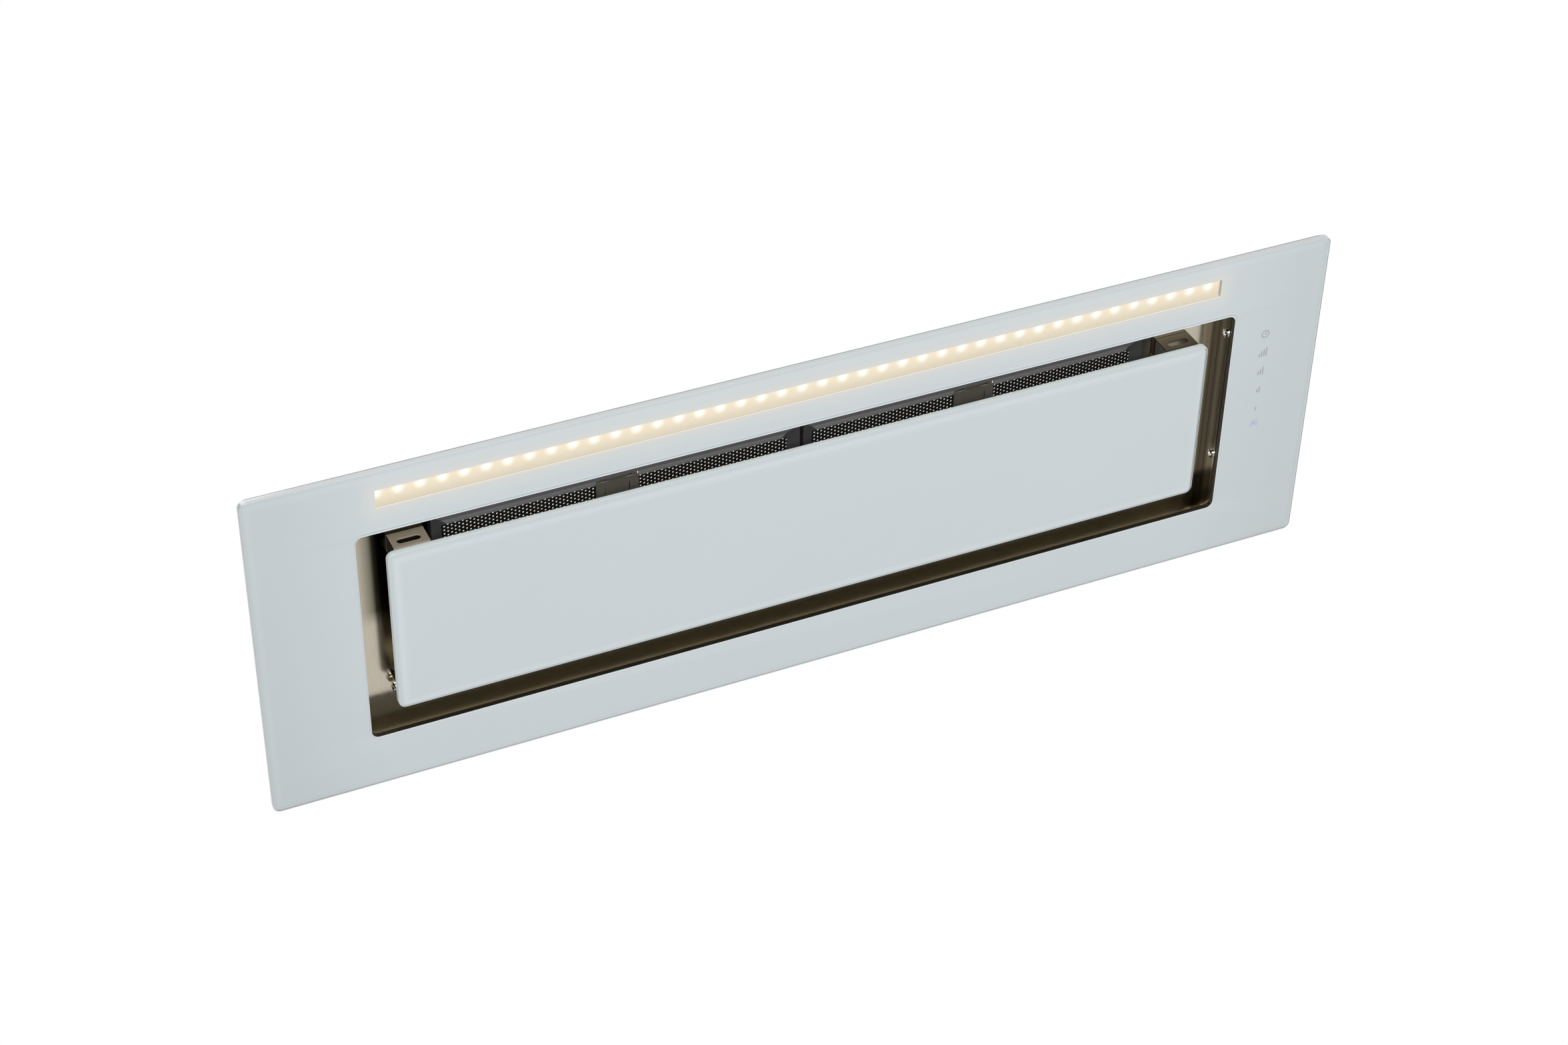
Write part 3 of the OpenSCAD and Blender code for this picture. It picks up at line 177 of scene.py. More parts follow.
class Finish:
    """One procedural material: a Principled shader and the pattern nodes in front of it."""

    def __init__(self, name, colour, roughness, metallic=0.0, **more):
        self.material = bpy.data.materials.new(name)
        self.material.use_nodes = True
        self.tree = self.material.node_tree
        self.shader = self.tree.nodes["Principled BSDF"]
        self.colour = colour
        self.shader.inputs["Base Color"].default_value = (*colour, 1)
        self.shader.inputs["Roughness"].default_value = roughness
        self.shader.inputs["Metallic"].default_value = metallic
        for socket, value in more.items():
            self.shader.inputs[socket.replace("_", " ")].default_value = value
        self.material.diffuse_color = (*colour, 1)

    def node(self, kind, **settings):
        made = self.tree.nodes.new(kind)
        for key, value in settings.items():
            setattr(made, key, value)
        return made

    def link(self, out, into):
        self.tree.links.new(out, into)

    def place(self, stretch=(1, 1, 1)):
        """Object coordinates, stretched along each axis."""
        coordinates = self.node("ShaderNodeTexCoord")
        mapping = self.node("ShaderNodeMapping")
        mapping.inputs["Scale"].default_value = stretch
        self.link(coordinates.outputs["Object"], mapping.inputs["Vector"])
        return mapping.outputs["Vector"]

    def noise(self, scale, detail=3.0, stretch=(1, 1, 1)):
        """Cloudy pattern from 0 to 1 with a size given in patches a metre."""
        made = self.node("ShaderNodeTexNoise")
        made.inputs["Scale"].default_value = scale
        made.inputs["Detail"].default_value = detail
        self.link(self.place(stretch), made.inputs["Vector"])
        return made.outputs["Fac"]

    def cells(self, scale):
        """Cell pattern whose colour is the same all over one cell."""
        made = self.node("ShaderNodeTexVoronoi")
        made.inputs["Scale"].default_value = scale
        self.link(self.place(), made.inputs["Vector"])
        spread = self.node("ShaderNodeSeparateColor")
        self.link(made.outputs["Color"], spread.inputs["Color"])
        return spread.outputs["Red"]

    def ramp(self, value, stops):
        """Colours at positions along a value."""
        made = self.node("ShaderNodeValToRGB")
        elements = made.color_ramp.elements
        while len(elements) < len(stops):
            elements.new(0.5)
        for element, (position, colour) in zip(elements, stops):
            element.position = position
            element.color = (*colour, 1)
        self.link(value, made.inputs["Fac"])
        return made.outputs["Color"]

    def mixed(self, part, first, second):
        """Colour that goes from a socket's to a second one as a part goes from 0 to 1."""
        made = self.node("ShaderNodeMix", data_type="RGBA")
        self.link(part, made.inputs["Factor"])
        self.link(first, made.inputs[MIX_FIRST])
        made.inputs[MIX_SECOND].default_value = (*second, 1)
        return made.outputs[MIX_RESULT]

    def maths(self, operation, *values):
        """One Math node over sockets and numbers."""
        made = self.node("ShaderNodeMath", operation=operation)
        for socket, value in zip(made.inputs, values):
            if isinstance(value, (int, float)):
                socket.default_value = value
            else:
                self.link(value, socket)
        return made.outputs["Value"]

    def axis(self, name):
        """One Object coordinate: X, Y or Z."""
        coordinates = self.node("ShaderNodeTexCoord")
        spread = self.node("ShaderNodeSeparateXYZ")
        self.link(coordinates.outputs["Object"], spread.inputs["Vector"])
        return spread.outputs[name]

    def range(self, value, low, high, to_low=0.0, to_high=1.0):
        """A value mapped from one range to another, and held at its ends."""
        made = self.node("ShaderNodeMapRange")
        made.inputs["From Min"].default_value = low
        made.inputs["From Max"].default_value = high
        made.inputs["To Min"].default_value = to_low
        made.inputs["To Max"].default_value = to_high
        self.link(value, made.inputs["Value"])
        return made.outputs["Result"]

    def outline_distance(self, centre, size, radius):
        """How far a point lies outside a rounded rectangle, below zero inside it."""
        beyond = []
        for name, middle, length in zip("XY", centre, size):
            off = self.maths("ABSOLUTE", self.maths("SUBTRACT", self.axis(name), middle))
            beyond.append(self.maths("SUBTRACT", off, length / 2 - radius))
        outside = [self.maths("MAXIMUM", value, 0.0) for value in beyond]
        squares = [self.maths("MULTIPLY", value, value) for value in outside]
        corner = self.maths("SQRT", self.maths("ADD", *squares))
        inside = self.maths("MINIMUM", self.maths("MAXIMUM", *beyond), 0.0)
        return self.maths("SUBTRACT", self.maths("ADD", corner, inside), radius)

    def levels(self, distance, stops):
        """Brightness along a distance. Each stop is (millimetres, brightness from 0 to 2)."""
        reach = stops[-1][0]
        along = self.range(distance, 0.0, reach * MM)
        halves = self.ramp(along, [(at / reach, (level / 2,) * 3) for at, level in stops])
        return self.maths("MULTIPLY", halves, 2.0)

    def share(self, level, part):
        """A brightness that counts in full where the part is 1, and not where it is 0."""
        return self.maths("MULTIPLY_ADD", part, self.maths("SUBTRACT", level, 1.0), 1.0)

    def tones(self, value, spread):
        """Colours from a little darker to a little lighter along a value."""
        darker = tuple(part * (1 - spread) for part in self.colour)
        lighter = tuple(min(1.0, part * (1 + spread)) for part in self.colour)
        return self.ramp(value, [(NOISE_LOW, darker), (NOISE_HIGH, lighter)])

    def vary_colour(self, value, spread):
        self.link(self.tones(value, spread), self.shader.inputs["Base Color"])
        return self

    def vary_roughness(self, value, low, high):
        self.link(self.range(value, NOISE_LOW, NOISE_HIGH, low, high), self.shader.inputs["Roughness"])
        return self

    def bump(self, value, depth, strength):
        """Raised pattern with a depth in metres."""
        made = self.node("ShaderNodeBump")
        made.inputs["Distance"].default_value = depth
        made.inputs["Strength"].default_value = strength
        self.link(value, made.inputs["Height"])
        self.link(made.outputs["Normal"], self.shader.inputs["Normal"])
        return self


BRUSH_STRETCH = {"X": (0.02, 1, 1), "Y": (1, 0.02, 1), "Z": (1, 1, 0.02)}
BRUSH_LINES = 3200
BRUSH_DEPTH = 0.008 * MM
ZINC_CRYSTALS = 230
PAINT_METALLIC = 0.35
PEEL_DEPTH = 0.012 * MM


def brush_lines(made, along):
    """Fine lines along one axis, as a value."""
    return made.noise(BRUSH_LINES, 4, BRUSH_STRETCH[along])


def brush_relief(made, lines, roughness):
    """Gloss and grooves that follow the brush lines."""
    made.vary_roughness(lines, roughness * 0.8, roughness * 1.25)
    return made.bump(lines, BRUSH_DEPTH, 0.25)


def brushed(name, colour, roughness, along="X", spread=0.08, metallic=1.0):
    """Sheet metal with fine brush lines along one axis."""
    made = Finish(name, colour, roughness, metallic)
    lines = brush_lines(made, along)
    made.vary_colour(lines, spread)
    return brush_relief(made, lines, roughness)


def galvanised(name, colour, roughness):
    """Zinc-coated sheet with pale crystals of a few millimetres."""
    made = Finish(name, colour, roughness, 1.0)
    made.vary_colour(made.cells(ZINC_CRYSTALS), 0.07)
    made.vary_roughness(made.noise(60), roughness * 0.85, roughness * 1.2)
    return made.bump(made.noise(900, 2), 0.01 * MM, 0.2)


def moulded(name, colour, roughness, grain=0.02 * MM):
    """Moulded plastic or foam with a fine grain."""
    made = Finish(name, colour, roughness)
    made.vary_colour(made.noise(40), 0.08)
    made.vary_roughness(made.noise(30), roughness * 0.9, roughness * 1.15)
    return made.bump(made.noise(2600, 2), grain, 0.5)


def paint_relief(made, roughness):
    """Uneven gloss and a light orange peel."""
    made.vary_roughness(made.noise(90), roughness * 0.85, roughness * 1.2)
    return made.bump(made.noise(1200, 2), PEEL_DEPTH, 0.4)


def painted(name, colour, roughness, spread=0.08):
    """Satin paint on metal."""
    made = Finish(name, colour, roughness, PAINT_METALLIC)
    made.vary_colour(made.noise(25), spread)
    return paint_relief(made, roughness)


def shade_box(made, low, high, colour, feather=0.05):
    """Gives a finish another colour in a box, its corners and its soft edge in millimetres."""
    inside = 1.0
    for name, start, end in zip("XYZ", low, high):
        value = made.axis(name)
        for limit, way in ((start, 1), (end, -1)):
            half = feather / 2 * way * MM
            part = made.range(value, limit * MM - half, limit * MM + half)
            inside = made.maths("MULTIPLY", inside, part)
    socket = made.shader.inputs["Base Color"]
    made.link(made.mixed(inside, socket.links[0].from_socket, colour), socket)


STEEL = (0.50, 0.455, 0.37)
STEEL_ROUGHNESS = 0.16
END_WALLS_X = 340 * MM
REAR_WALL_Y = 116 * MM
REAR_WALL_STEEL = (0.50, 0.43, 0.32)


def recess_steel():
    """Steel of the recess, brushed along its length and across it at both ends, warmer and a little
    darker on its rear wall, with painted shade in places and a dark seam line along its right wall.
    """
    made = Finish("brushed_steel", STEEL, STEEL_ROUGHNESS, 1.0)
    at_ends = made.maths("GREATER_THAN", made.maths("ABSOLUTE", made.axis("X")), END_WALLS_X)
    across = made.maths("MULTIPLY", brush_lines(made, "Y"), at_ends)
    along = made.maths("MULTIPLY", brush_lines(made, "X"), made.maths("SUBTRACT", 1.0, at_ends))
    lines = made.maths("ADD", across, along)
    at_rear = made.maths("GREATER_THAN", made.axis("Y"), REAR_WALL_Y)
    colours = made.mixed(at_rear, made.tones(lines, 0.08), REAR_WALL_STEEL)
    made.link(colours, made.shader.inputs["Base Color"])
    brush_relief(made, lines, STEEL_ROUGHNESS)
    # Painted shadow at the left front corner, painted shade on the pan behind the left bracket and on the
    # right wall above its lower edge, and a dark seam line along the right wall
    left_front_corner_painted_shadow = ((-354, -130, -100), (-290, 5, 100))
    floor_behind_bracket_painted_shade = ((-342, -100, 23), (-295, -66, 26))
    right_wall_painted_shade = ((360, -100, 8), (370, 120, 30))
    right_wall_line = ((360, -100, 20.1), (370, 120, 20.9))
    shade_box(made, *left_front_corner_painted_shadow, (0.11, 0.10, 0.07), 14)
    shade_box(made, *floor_behind_bracket_painted_shade, (0.02, 0.018, 0.012))
    shade_box(made, *right_wall_painted_shade, (0.25, 0.22, 0.17), 0.5)
    shade_box(made, *right_wall_line, (0.03, 0.025, 0.018), 0.3)
    return made


def left_bracket_steel():
    """Steel of the left bracket, a lighter copy of the bracket steel as painted light, with painted shade
    on its outer flange and behind its face.
    """
    made = brushed("bracket_steel_painted_light_and_shade", (0.86, 0.75, 0.56), 0.36, "X", 0.08, 0.6)
    made.shader.inputs["Specular IOR Level"].default_value = 0.1
    # Painted shade on the outer flange and inside the bracket, behind its face
    outer_flange_painted_shade = ((-340, -80, 0), (-335.5, -40, 23))
    behind_face_painted_lighting = ((-340, -68, 0), (-300, -40, 23))
    for low, high in (outer_flange_painted_shade, behind_face_painted_lighting):
        shade_box(made, low, high, (0.03, 0.026, 0.018))
    return made


def right_bracket_steel():
    """Steel of the right bracket, a darker copy of the bracket steel as painted shade, with painted light
    behind its face.
    """
    made = brushed("bracket_steel_right_painted_shade_and_light", (0.33, 0.30, 0.235), 0.36)
    # Painted light inside the bracket, behind its face, where its slot looks in
    behind_face_painted_lighting = ((300, -68, 0), (340, -40, 23))
    shade_box(made, *behind_face_painted_lighting, (0.95, 0.93, 0.88))
    return made


def filter_well_paint():
    """Dark paint of the filter well, with painted light on its right end wall."""
    made = painted("well_metal", (0.035, 0.036, 0.038), 0.45)
    # Painted light on the right end wall
    right_end_painted_light = ((299.7, -90, 20), (310, 100, 60))
    shade_box(made, *right_end_painted_light, (0.34, 0.31, 0.25))
    return made


FILTER_GREY = (0.36, 0.36, 0.37)
FILTER_ROUGHNESS = 0.42
MITRE_REACH = 2 * MM
# Brightness across a mitre: the front border, the dark joint, the side border darker as painted shade
MITRE_JOINT_AND_SIDE_SHADE_LEVELS = [(0.0, 1.0), (0.40, 1.0), (0.44, 0.25), (0.56, 0.25), (0.60, 0.30), (1.0, 0.30)]


def cassette_paint():
    """Paint of the cassettes, with dark joints along the front mitres and painted shade on the side
    borders, which are darker.
    """
    made = Finish("filter_metal", FILTER_GREY, FILTER_ROUGHNESS, PAINT_METALLIC)
    low, high = box_of("filter_frame_right")
    off_middle = made.maths("ABSOLUTE", made.axis("X"))
    to_ends = [made.maths("ABSOLUTE", made.maths("SUBTRACT", off_middle, end)) for end in (low.x, high.x)]
    to_front = made.maths("SUBTRACT", made.axis("Y"), low.y)
    past_mitre = made.maths("SUBTRACT", to_front, made.maths("MINIMUM", *to_ends))
    greys = [(at, tuple(part * level for part in FILTER_GREY)) for at, level in MITRE_JOINT_AND_SIDE_SHADE_LEVELS]
    colours = made.ramp(made.range(past_mitre, -MITRE_REACH, MITRE_REACH), greys)
    made.link(colours, made.shader.inputs["Base Color"])
    return paint_relief(made, FILTER_ROUGHNESS)


def glowing(name, colour, roughness, metallic, glow, strength):
    """Finish that gives a little light of its own."""
    made = Finish(name, colour, roughness, metallic, Emission_Strength=strength)
    made.shader.inputs["Emission Color"].default_value = (*glow, 1)
    return made


steel = recess_steel()
left_bracket_painted_light_and_shade = left_bracket_steel()
right_bracket_painted_shade_and_light = right_bracket_steel()
zinc = galvanised("zinc_sheet", (0.50, 0.52, 0.54), 0.38)
zinc_dark = galvanised("zinc_sheet_dark", (0.40, 0.42, 0.44), 0.42)
aluminium = brushed("lamp_aluminium", (0.62, 0.62, 0.63), 0.35)
screw_zinc = Finish("screw_zinc", (0.82, 0.82, 0.83), 0.16, 1.0)
screw_zinc.vary_colour(screw_zinc.noise(900), 0.12)
foam = moulded("foam_black", (0.028, 0.028, 0.030), 0.9, 0.15 * MM)
pale_seal = moulded("seal_foam_pale", (0.50, 0.51, 0.51), 0.85, 0.05 * MM)
black_plastic = moulded("black_plastic", (0.030, 0.031, 0.034), 0.45)
fan_plastic = moulded("fan_plastic", (0.045, 0.047, 0.052), 0.4)
white_plastic = moulded("white_plastic", (0.72, 0.72, 0.70), 0.45)
key_plastic = moulded("key_plastic", (0.25, 0.26, 0.28), 0.6)
terminal_green = moulded("terminal_green", (0.02, 0.22, 0.10), 0.4)
solder_mask = moulded("lamp_board_white", (0.80, 0.79, 0.74), 0.4)
board_green = painted("circuit_board", (0.012, 0.12, 0.055), 0.35, 0.15)
well_paint = filter_well_paint()
filter_paint = cassette_paint()
sheet_black = painted("filter_sheet", (0.014, 0.014, 0.014), 0.5)
latch_paint = brushed("latch_metal", (0.27, 0.26, 0.215), 0.42, "X", 0.06, 0.6)
# The mesh behind the perforated sheets gives a painted light of its own, so that the holes show bright
mesh_metal_painted_glow = glowing("filter_mesh", (0.86, 0.85, 0.80), 0.4, 0.6, (1.0, 0.97, 0.88), 0.8)
mesh_metal_painted_glow.vary_colour(mesh_metal_painted_glow.noise(500), 0.1)
motor_paint = painted("motor_paint", (0.07, 0.075, 0.08), 0.4)
magnet_grey = painted("magnet_ferrite", (0.09, 0.09, 0.095), 0.55)
spring_wire = Finish("spring_steel", (0.55, 0.55, 0.57), 0.2, 1.0)
spring_wire.vary_colour(spring_wire.noise(2000), 0.1)
shaft_steel = brushed("shaft_steel", (0.60, 0.60, 0.62), 0.2, "Z")
lamination = brushed("motor_lamination", (0.30, 0.30, 0.31), 0.4, "X")
copper = Finish("copper_winding", (0.62, 0.25, 0.10), 0.3, 1.0)
copper.vary_colour(copper.noise(700, 2, (1, 1, 6)), 0.25)

GLASS_WHITE = (0.555, 0.610, 0.630)
LOWEST_LEVEL = 0.2
HIGHEST_LEVEL = 1.55

# Painted highlights and reflections of the glass near an edge, as brightness. Each stop is (millimetres
# from the edge, brightness)
NEAR_FACE_EDGE = [(0, 0.97), (2, 0.97), (4, 1.035), (6, 1.03), (9, 1.0)]
REAR_FACE_EDGE = [(0, 1.2), (0.6, 1.2), (0.8, 0.62), (1.8, 0.64)]
REAR_FACE_EDGE += [(2.2, 0.98), (3.6, 0.96), (5, 0.99), (8, 1.0)]
RIGHT_FACE_EDGE = [(0, 0.45), (0.9, 0.5), (1.2, 1.08), (1.9, 1.08)]
RIGHT_FACE_EDGE += [(2.3, 0.93), (3.6, 0.95), (5, 0.99), (8, 1.0)]
NEAR_PANEL_EDGE = [(0, 0.97), (1.2, 0.93), (3, 0.97), (5, 1.07), (6.5, 1.08), (9, 1.03), (12, 1.0)]
REAR_PANEL_EDGE = [(0, 1.35), (0.7, 1.35), (0.9, 0.66), (1.5, 0.68)]
REAR_PANEL_EDGE += [(1.9, 1.03), (2.3, 1.06), (5, 1.06), (8, 1.0)]
RIGHT_PANEL_EDGE = [(0, 1.2), (0.5, 1.2), (0.6, 0.2), (1.2, 0.22)]
RIGHT_PANEL_EDGE += [(1.3, 0.6), (2.2, 0.66), (2.6, 1.04), (8, 1.0)]
OPENING_FRONT_EDGE = [(0, 1.4), (0.9, 1.4), (1.3, 0.9), (1.8, 0.8)]
OPENING_FRONT_EDGE += [(2.3, 0.84), (2.9, 1.03), (3.4, 1.05), (4.2, 1.0)]
OPENING_LEFT_EDGE = [(0, 0.93), (1.1, 0.93), (2, 0.985), (5, 1.0)]
OPENING_FAR_EDGE = [(0, 1.1), (0.9, 1.1), (1.4, 0.95), (1.8, 0.97), (2.5, 1.0)]
# Half the width of the seam at the corners, where one edge's lines give way to the next one's
SEAM = 1 * MM


def white_glass(name, centre, size, radius, near_edge, rear_edge, right_edge):
    """White-backed glass with the painted highlight and reflection lines along its outer edges, and their
    brightness.
    """
    made = Finish(name, GLASS_WHITE, 0.35, Coat_Weight=1.0, Coat_Roughness=0.03)
    within = made.maths("MULTIPLY", made.outline_distance(centre, size, radius), -1.0)
    low_x = made.maths("SUBTRACT", made.axis("X"), centre[0] - size[0] / 2)
    low_y = made.maths("SUBTRACT", made.axis("Y"), centre[1] - size[1] / 2)
    high_x = made.maths("SUBTRACT", centre[0] + size[0] / 2, made.axis("X"))
    high_y = made.maths("SUBTRACT", centre[1] + size[1] / 2, made.axis("Y"))
    near_gap = made.maths("MINIMUM", low_x, low_y)
    far_gap = made.maths("MINIMUM", high_x, high_y)
    far_part = made.range(made.maths("SUBTRACT", near_gap, far_gap), -SEAM, SEAM)
    near_part = made.maths("SUBTRACT", 1.0, far_part)
    right_part = made.range(made.maths("SUBTRACT", high_y, high_x), -SEAM, SEAM)
    right_share = made.maths("MULTIPLY", far_part, right_part)
    rear_share = made.maths("SUBTRACT", far_part, right_share)
    near_level = made.share(made.levels(within, near_edge), near_part)
    rear_level = made.share(made.levels(within, rear_edge), rear_share)
    right_level = made.share(made.levels(within, right_edge), right_share)
    far_level = made.maths("MULTIPLY", rear_level, right_level)
    clouds = made.range(made.noise(7), NOISE_LOW, NOISE_HIGH, 0.992, 1.008)
    level = made.maths("MULTIPLY", clouds, made.maths("MULTIPLY", near_level, far_level))
    return made, level


def colour_by_level(made, level):
    """Makes the base colour follow a brightness of painted light and shade, 1 being the colour as
    written.
    """
    darkest = tuple(part * LOWEST_LEVEL for part in made.colour)
    lightest = tuple(part * HIGHEST_LEVEL for part in made.colour)
    along = made.range(level, LOWEST_LEVEL, HIGHEST_LEVEL)
    made.link(made.ramp(along, [(0.0, darkest), (1.0, lightest)]), made.shader.inputs["Base Color"])


glass_side = Finish("glass_outer_side", (0.43, 0.475, 0.49), 0.2, Coat_Weight=0.4, Coat_Roughness=0.05)
glass_side.vary_colour(glass_side.noise(60), 0.05)
# Painted light makes the front side lighter than the other sides, with a painted shade line along its top
front_side_painted_light = ((-450, -147, -1), (450, -145, 6))
front_side_top_painted_shade = ((-450, -147, 4.3), (450, -145, 6))
shade_box(glass_side, *front_side_painted_light, (0.60, 0.635, 0.635))
shade_box(glass_side, *front_side_top_painted_shade, (0.22, 0.23, 0.23))
glass_inner_side = Finish("glass_inner_side", (0.018, 0.015, 0.009), 0.4)
glass_inner_side.shader.inputs["Specular IOR Level"].default_value = 0.15
glass_inner_side.vary_colour(glass_inner_side.noise(50), 0.2)
# Painted light makes the right side of the opening lighter than its other sides
opening_right_side_painted_light = ((364, -100, -1), (366, 100, 6))
shade_box(glass_inner_side, *opening_right_side_painted_light, (0.075, 0.064, 0.045))
# Sides of the centre panel's glass: a lighter copy of the glass sides as painted light, with a little
# painted glow of their own
panel_side_painted_light = glowing("panel_outer_side_painted_light", (0.60, 0.65, 0.66), 0.3, 0.0, (0.9, 1.0, 1.0), 0.22)
panel_side_painted_light.vary_colour(panel_side_painted_light.noise(60), 0.05)

symbol_grey = Finish("key_symbol_grey", (0.36, 0.385, 0.395), 0.5)
symbol_grey.vary_colour(symbol_grey.noise(900), 0.06)
symbol_lit = glowing("key_symbol_lit", (0.40, 0.41, 0.64), 0.5, 0.0, (0.55, 0.55, 1.0), 0.06)
symbol_lit.vary_colour(symbol_lit.noise(900), 0.06)
led_light = glowing("led_light", (1.0, 0.88, 0.62), 0.4, 0.0, (1.0, 0.86, 0.60), 3.0)

NODE_FINISHES = {
    "glass_tape": foam,
    "glass_carrier": steel,
    "rim_seal": pale_seal,
    "lamp_channel": aluminium,
    "lamp_board": solder_mask,
    "lamp_leds": led_light,
    "touch_board": board_green,
    "touch_pads": key_plastic,
    "touch_cover": black_plastic,
    "recess_pan": steel,
    "filter_well": well_paint,
    "wall_screws": screw_zinc,
    "catch_magnets": magnet_grey,
    "panel_tray": steel,
    "panel_bracket_left": left_bracket_painted_light_and_shade,
    "panel_bracket_right": right_bracket_painted_shade_and_light,
    "hinge_screws": screw_zinc,
    "filter_frame_left": filter_paint,
    "filter_frame_right": filter_paint,
    "filter_face_left": sheet_black,
    "filter_face_right": sheet_black,
    "filter_mesh_left": mesh_metal_painted_glow,
    "filter_mesh_right": mesh_metal_painted_glow,
    "filter_back_left": filter_paint,
    "filter_back_right": filter_paint,
    "latch_plate_left": latch_paint,
    "latch_plate_right": latch_paint,
    "latch_slider_left": latch_paint,
    "latch_slider_right": latch_paint,
    "latch_spring_left": spring_wire,
    "latch_spring_right": spring_wire,
    "body_shell": zinc,
    "body_screws": screw_zinc,
    "body_top": zinc,
    "case_screws": screw_zinc,
    "inlet_ring": zinc_dark,
    "blower_housing": zinc,
    "blower_cover": zinc,
    "impeller": fan_plastic,
    "motor_shell": motor_paint,
    "motor_stator": copper,
    "motor_rotor": lamination,
    "motor_shaft": shaft_steel,
    "motor_bearings": shaft_steel,
    "duct_collar": black_plastic,
    "damper_flap_left": fan_plastic,
    "damper_flap_right": fan_plastic,
    "damper_pin": shaft_steel,
    "control_box": black_plastic,
    "control_lid": black_plastic,
    "control_board": board_green,
    "terminal_block": terminal_green,
    "led_driver": white_plastic,
    "capacitor": aluminium,
    "cable_gland": black_plastic,
    "hanging_bracket_left": zinc,
    "hanging_bracket_right": zinc,
}
for node_name, node_finish in NODE_FINISHES.items():
    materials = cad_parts[node_name].data.materials
    materials.clear()
    materials.append(node_finish.material)


# Glass

FILM = 0.03 * MM
GLASS_EDGE_R = 0.5 * MM
OPENING_SIZE = (730 * MM, 190.5 * MM)
OPENING_CENTRE = (0, 4 * MM)
OPENING_CORNER_R = 6 * MM
FACE_CORNER_R = 6 * MM
PANEL_CORNER_R = 6 * MM
# Faces that point up or down more than this are the flat ones, with their rounded edges
FLAT_ENOUGH = 0.3
# Sides nearer to the middle than this belong to the opening
OPENING_REACH = (370 * MM, 105 * MM)
# The glass is less bright towards its ends and its rear, as painted shade
END_SHADE_X = (345 * MM, 425 * MM)
END_LEVEL = 0.91
REAR_SHADE_Y = (60 * MM, 130 * MM)
REAR_LEVEL = 0.985
# Painted glow of the lamp's light on the face glass beside the window: how far it reaches, and its
# colours
LAMP_GLOW_REACH = 16 * MM
LAMP_GLOW = [(0.0, (0.10, 0.045, 0.0)), (0.3, (0.05, 0.025, 0.0)), (1.0, (0, 0, 0))]


def mark_glass_edges(bm, opening=None):
    """Gives the face with its rounded edge, the cut side and the side of an opening their own finish."""
    bm.normal_update()
    for face in bm.faces:
        centre = face.calc_center_median()
        if abs(face.normal.z) > FLAT_ENOUGH:
            face.material_index = 0
        elif opening and abs(centre.x) < opening[0] and abs(centre.y) < opening[1]:
            face.material_index = 2
        else:
            face.material_index = 1


def cut_window(bm):
    """Cuts the lamp window out of the face glass and closes the sides of the cut."""
    low, high = box_of("lamp_window")
    sides = [
        ((low.x, 0, 0), (1, 0, 0)),
        ((high.x, 0, 0), (1, 0, 0)),
        ((0, low.y, 0), (0, 1, 0)),
        ((0, high.y, 0), (0, 1, 0)),
    ]
    for side_at, side_normal in sides:
        everything = bm.verts[:] + bm.edges[:] + bm.faces[:]
        bmesh.ops.bisect_plane(bm, geom=everything, plane_co=side_at, plane_no=side_normal)
    in_window = []
    for face in bm.faces:
        centre = face.calc_center_median()
        if low.x < centre.x < high.x and low.y < centre.y < high.y:
            in_window.append(face)
    bmesh.ops.delete(bm, geom=in_window, context="FACES")
    open_edges = [edge for edge in bm.edges if edge.is_boundary]
    bmesh.ops.bridge_loops(bm, edges=open_edges)


def opening_levels(made):
    """Brightness of the painted highlight and reflection lines round the opening: front, left, and the
    two far sides.
    """
    outside = made.outline_distance(OPENING_CENTRE, OPENING_SIZE, OPENING_CORNER_R)
    low_x = OPENING_CENTRE[0] - OPENING_SIZE[0] / 2
    low_y = OPENING_CENTRE[1] - OPENING_SIZE[1] / 2
    left_of = made.range(made.axis("X"), low_x, low_x + OPENING_CORNER_R, 1, 0)
    front_of = made.range(made.axis("Y"), low_y, low_y + OPENING_CORNER_R, 1, 0)
    not_left = made.maths("SUBTRACT", 1.0, left_of)
    not_front = made.maths("SUBTRACT", 1.0, front_of)
    front_share = made.maths("MULTIPLY", front_of, not_left)
    far_share = made.maths("MULTIPLY", not_front, not_left)
    front_level = made.share(made.levels(outside, OPENING_FRONT_EDGE), front_share)
    far_level = made.share(made.levels(outside, OPENING_FAR_EDGE), far_share)
    left_level = made.share(made.levels(outside, OPENING_LEFT_EDGE), left_of)
    return made.maths("MULTIPLY", left_level, made.maths("MULTIPLY", front_level, far_level))


def face_glass_finish(size):
    """White of the face glass, with painted highlight and reflection lines at its edges and opening,
    painted shade towards its ends and rear, and a painted glow of the lamp's light beside the lamp
    window.
    """
    made, level = white_glass(
        "white_glass_face", (0, 0), size, FACE_CORNER_R, NEAR_FACE_EDGE, REAR_FACE_EDGE, RIGHT_FACE_EDGE
    )
    to_ends = made.range(made.maths("ABSOLUTE", made.axis("X")), *END_SHADE_X, 1.0, END_LEVEL)
    to_rear = made.range(made.axis("Y"), *REAR_SHADE_Y, 1.0, REAR_LEVEL)
    level = made.maths("MULTIPLY", level, made.maths("MULTIPLY", to_ends, to_rear))
    colour_by_level(made, made.maths("MULTIPLY", level, opening_levels(made)))
    low, high = box_of("lamp_window")
    centre = ((low.x + high.x) / 2, (low.y + high.y) / 2)
    from_window = made.outline_distance(centre, (high.x - low.x, high.y - low.y), 1 * MM)
    glow = made.ramp(made.range(from_window, 0.0, LAMP_GLOW_REACH), LAMP_GLOW)
    made.link(glow, made.shader.inputs["Emission Color"])
    made.shader.inputs["Emission Strength"].default_value = 1.0
    return made


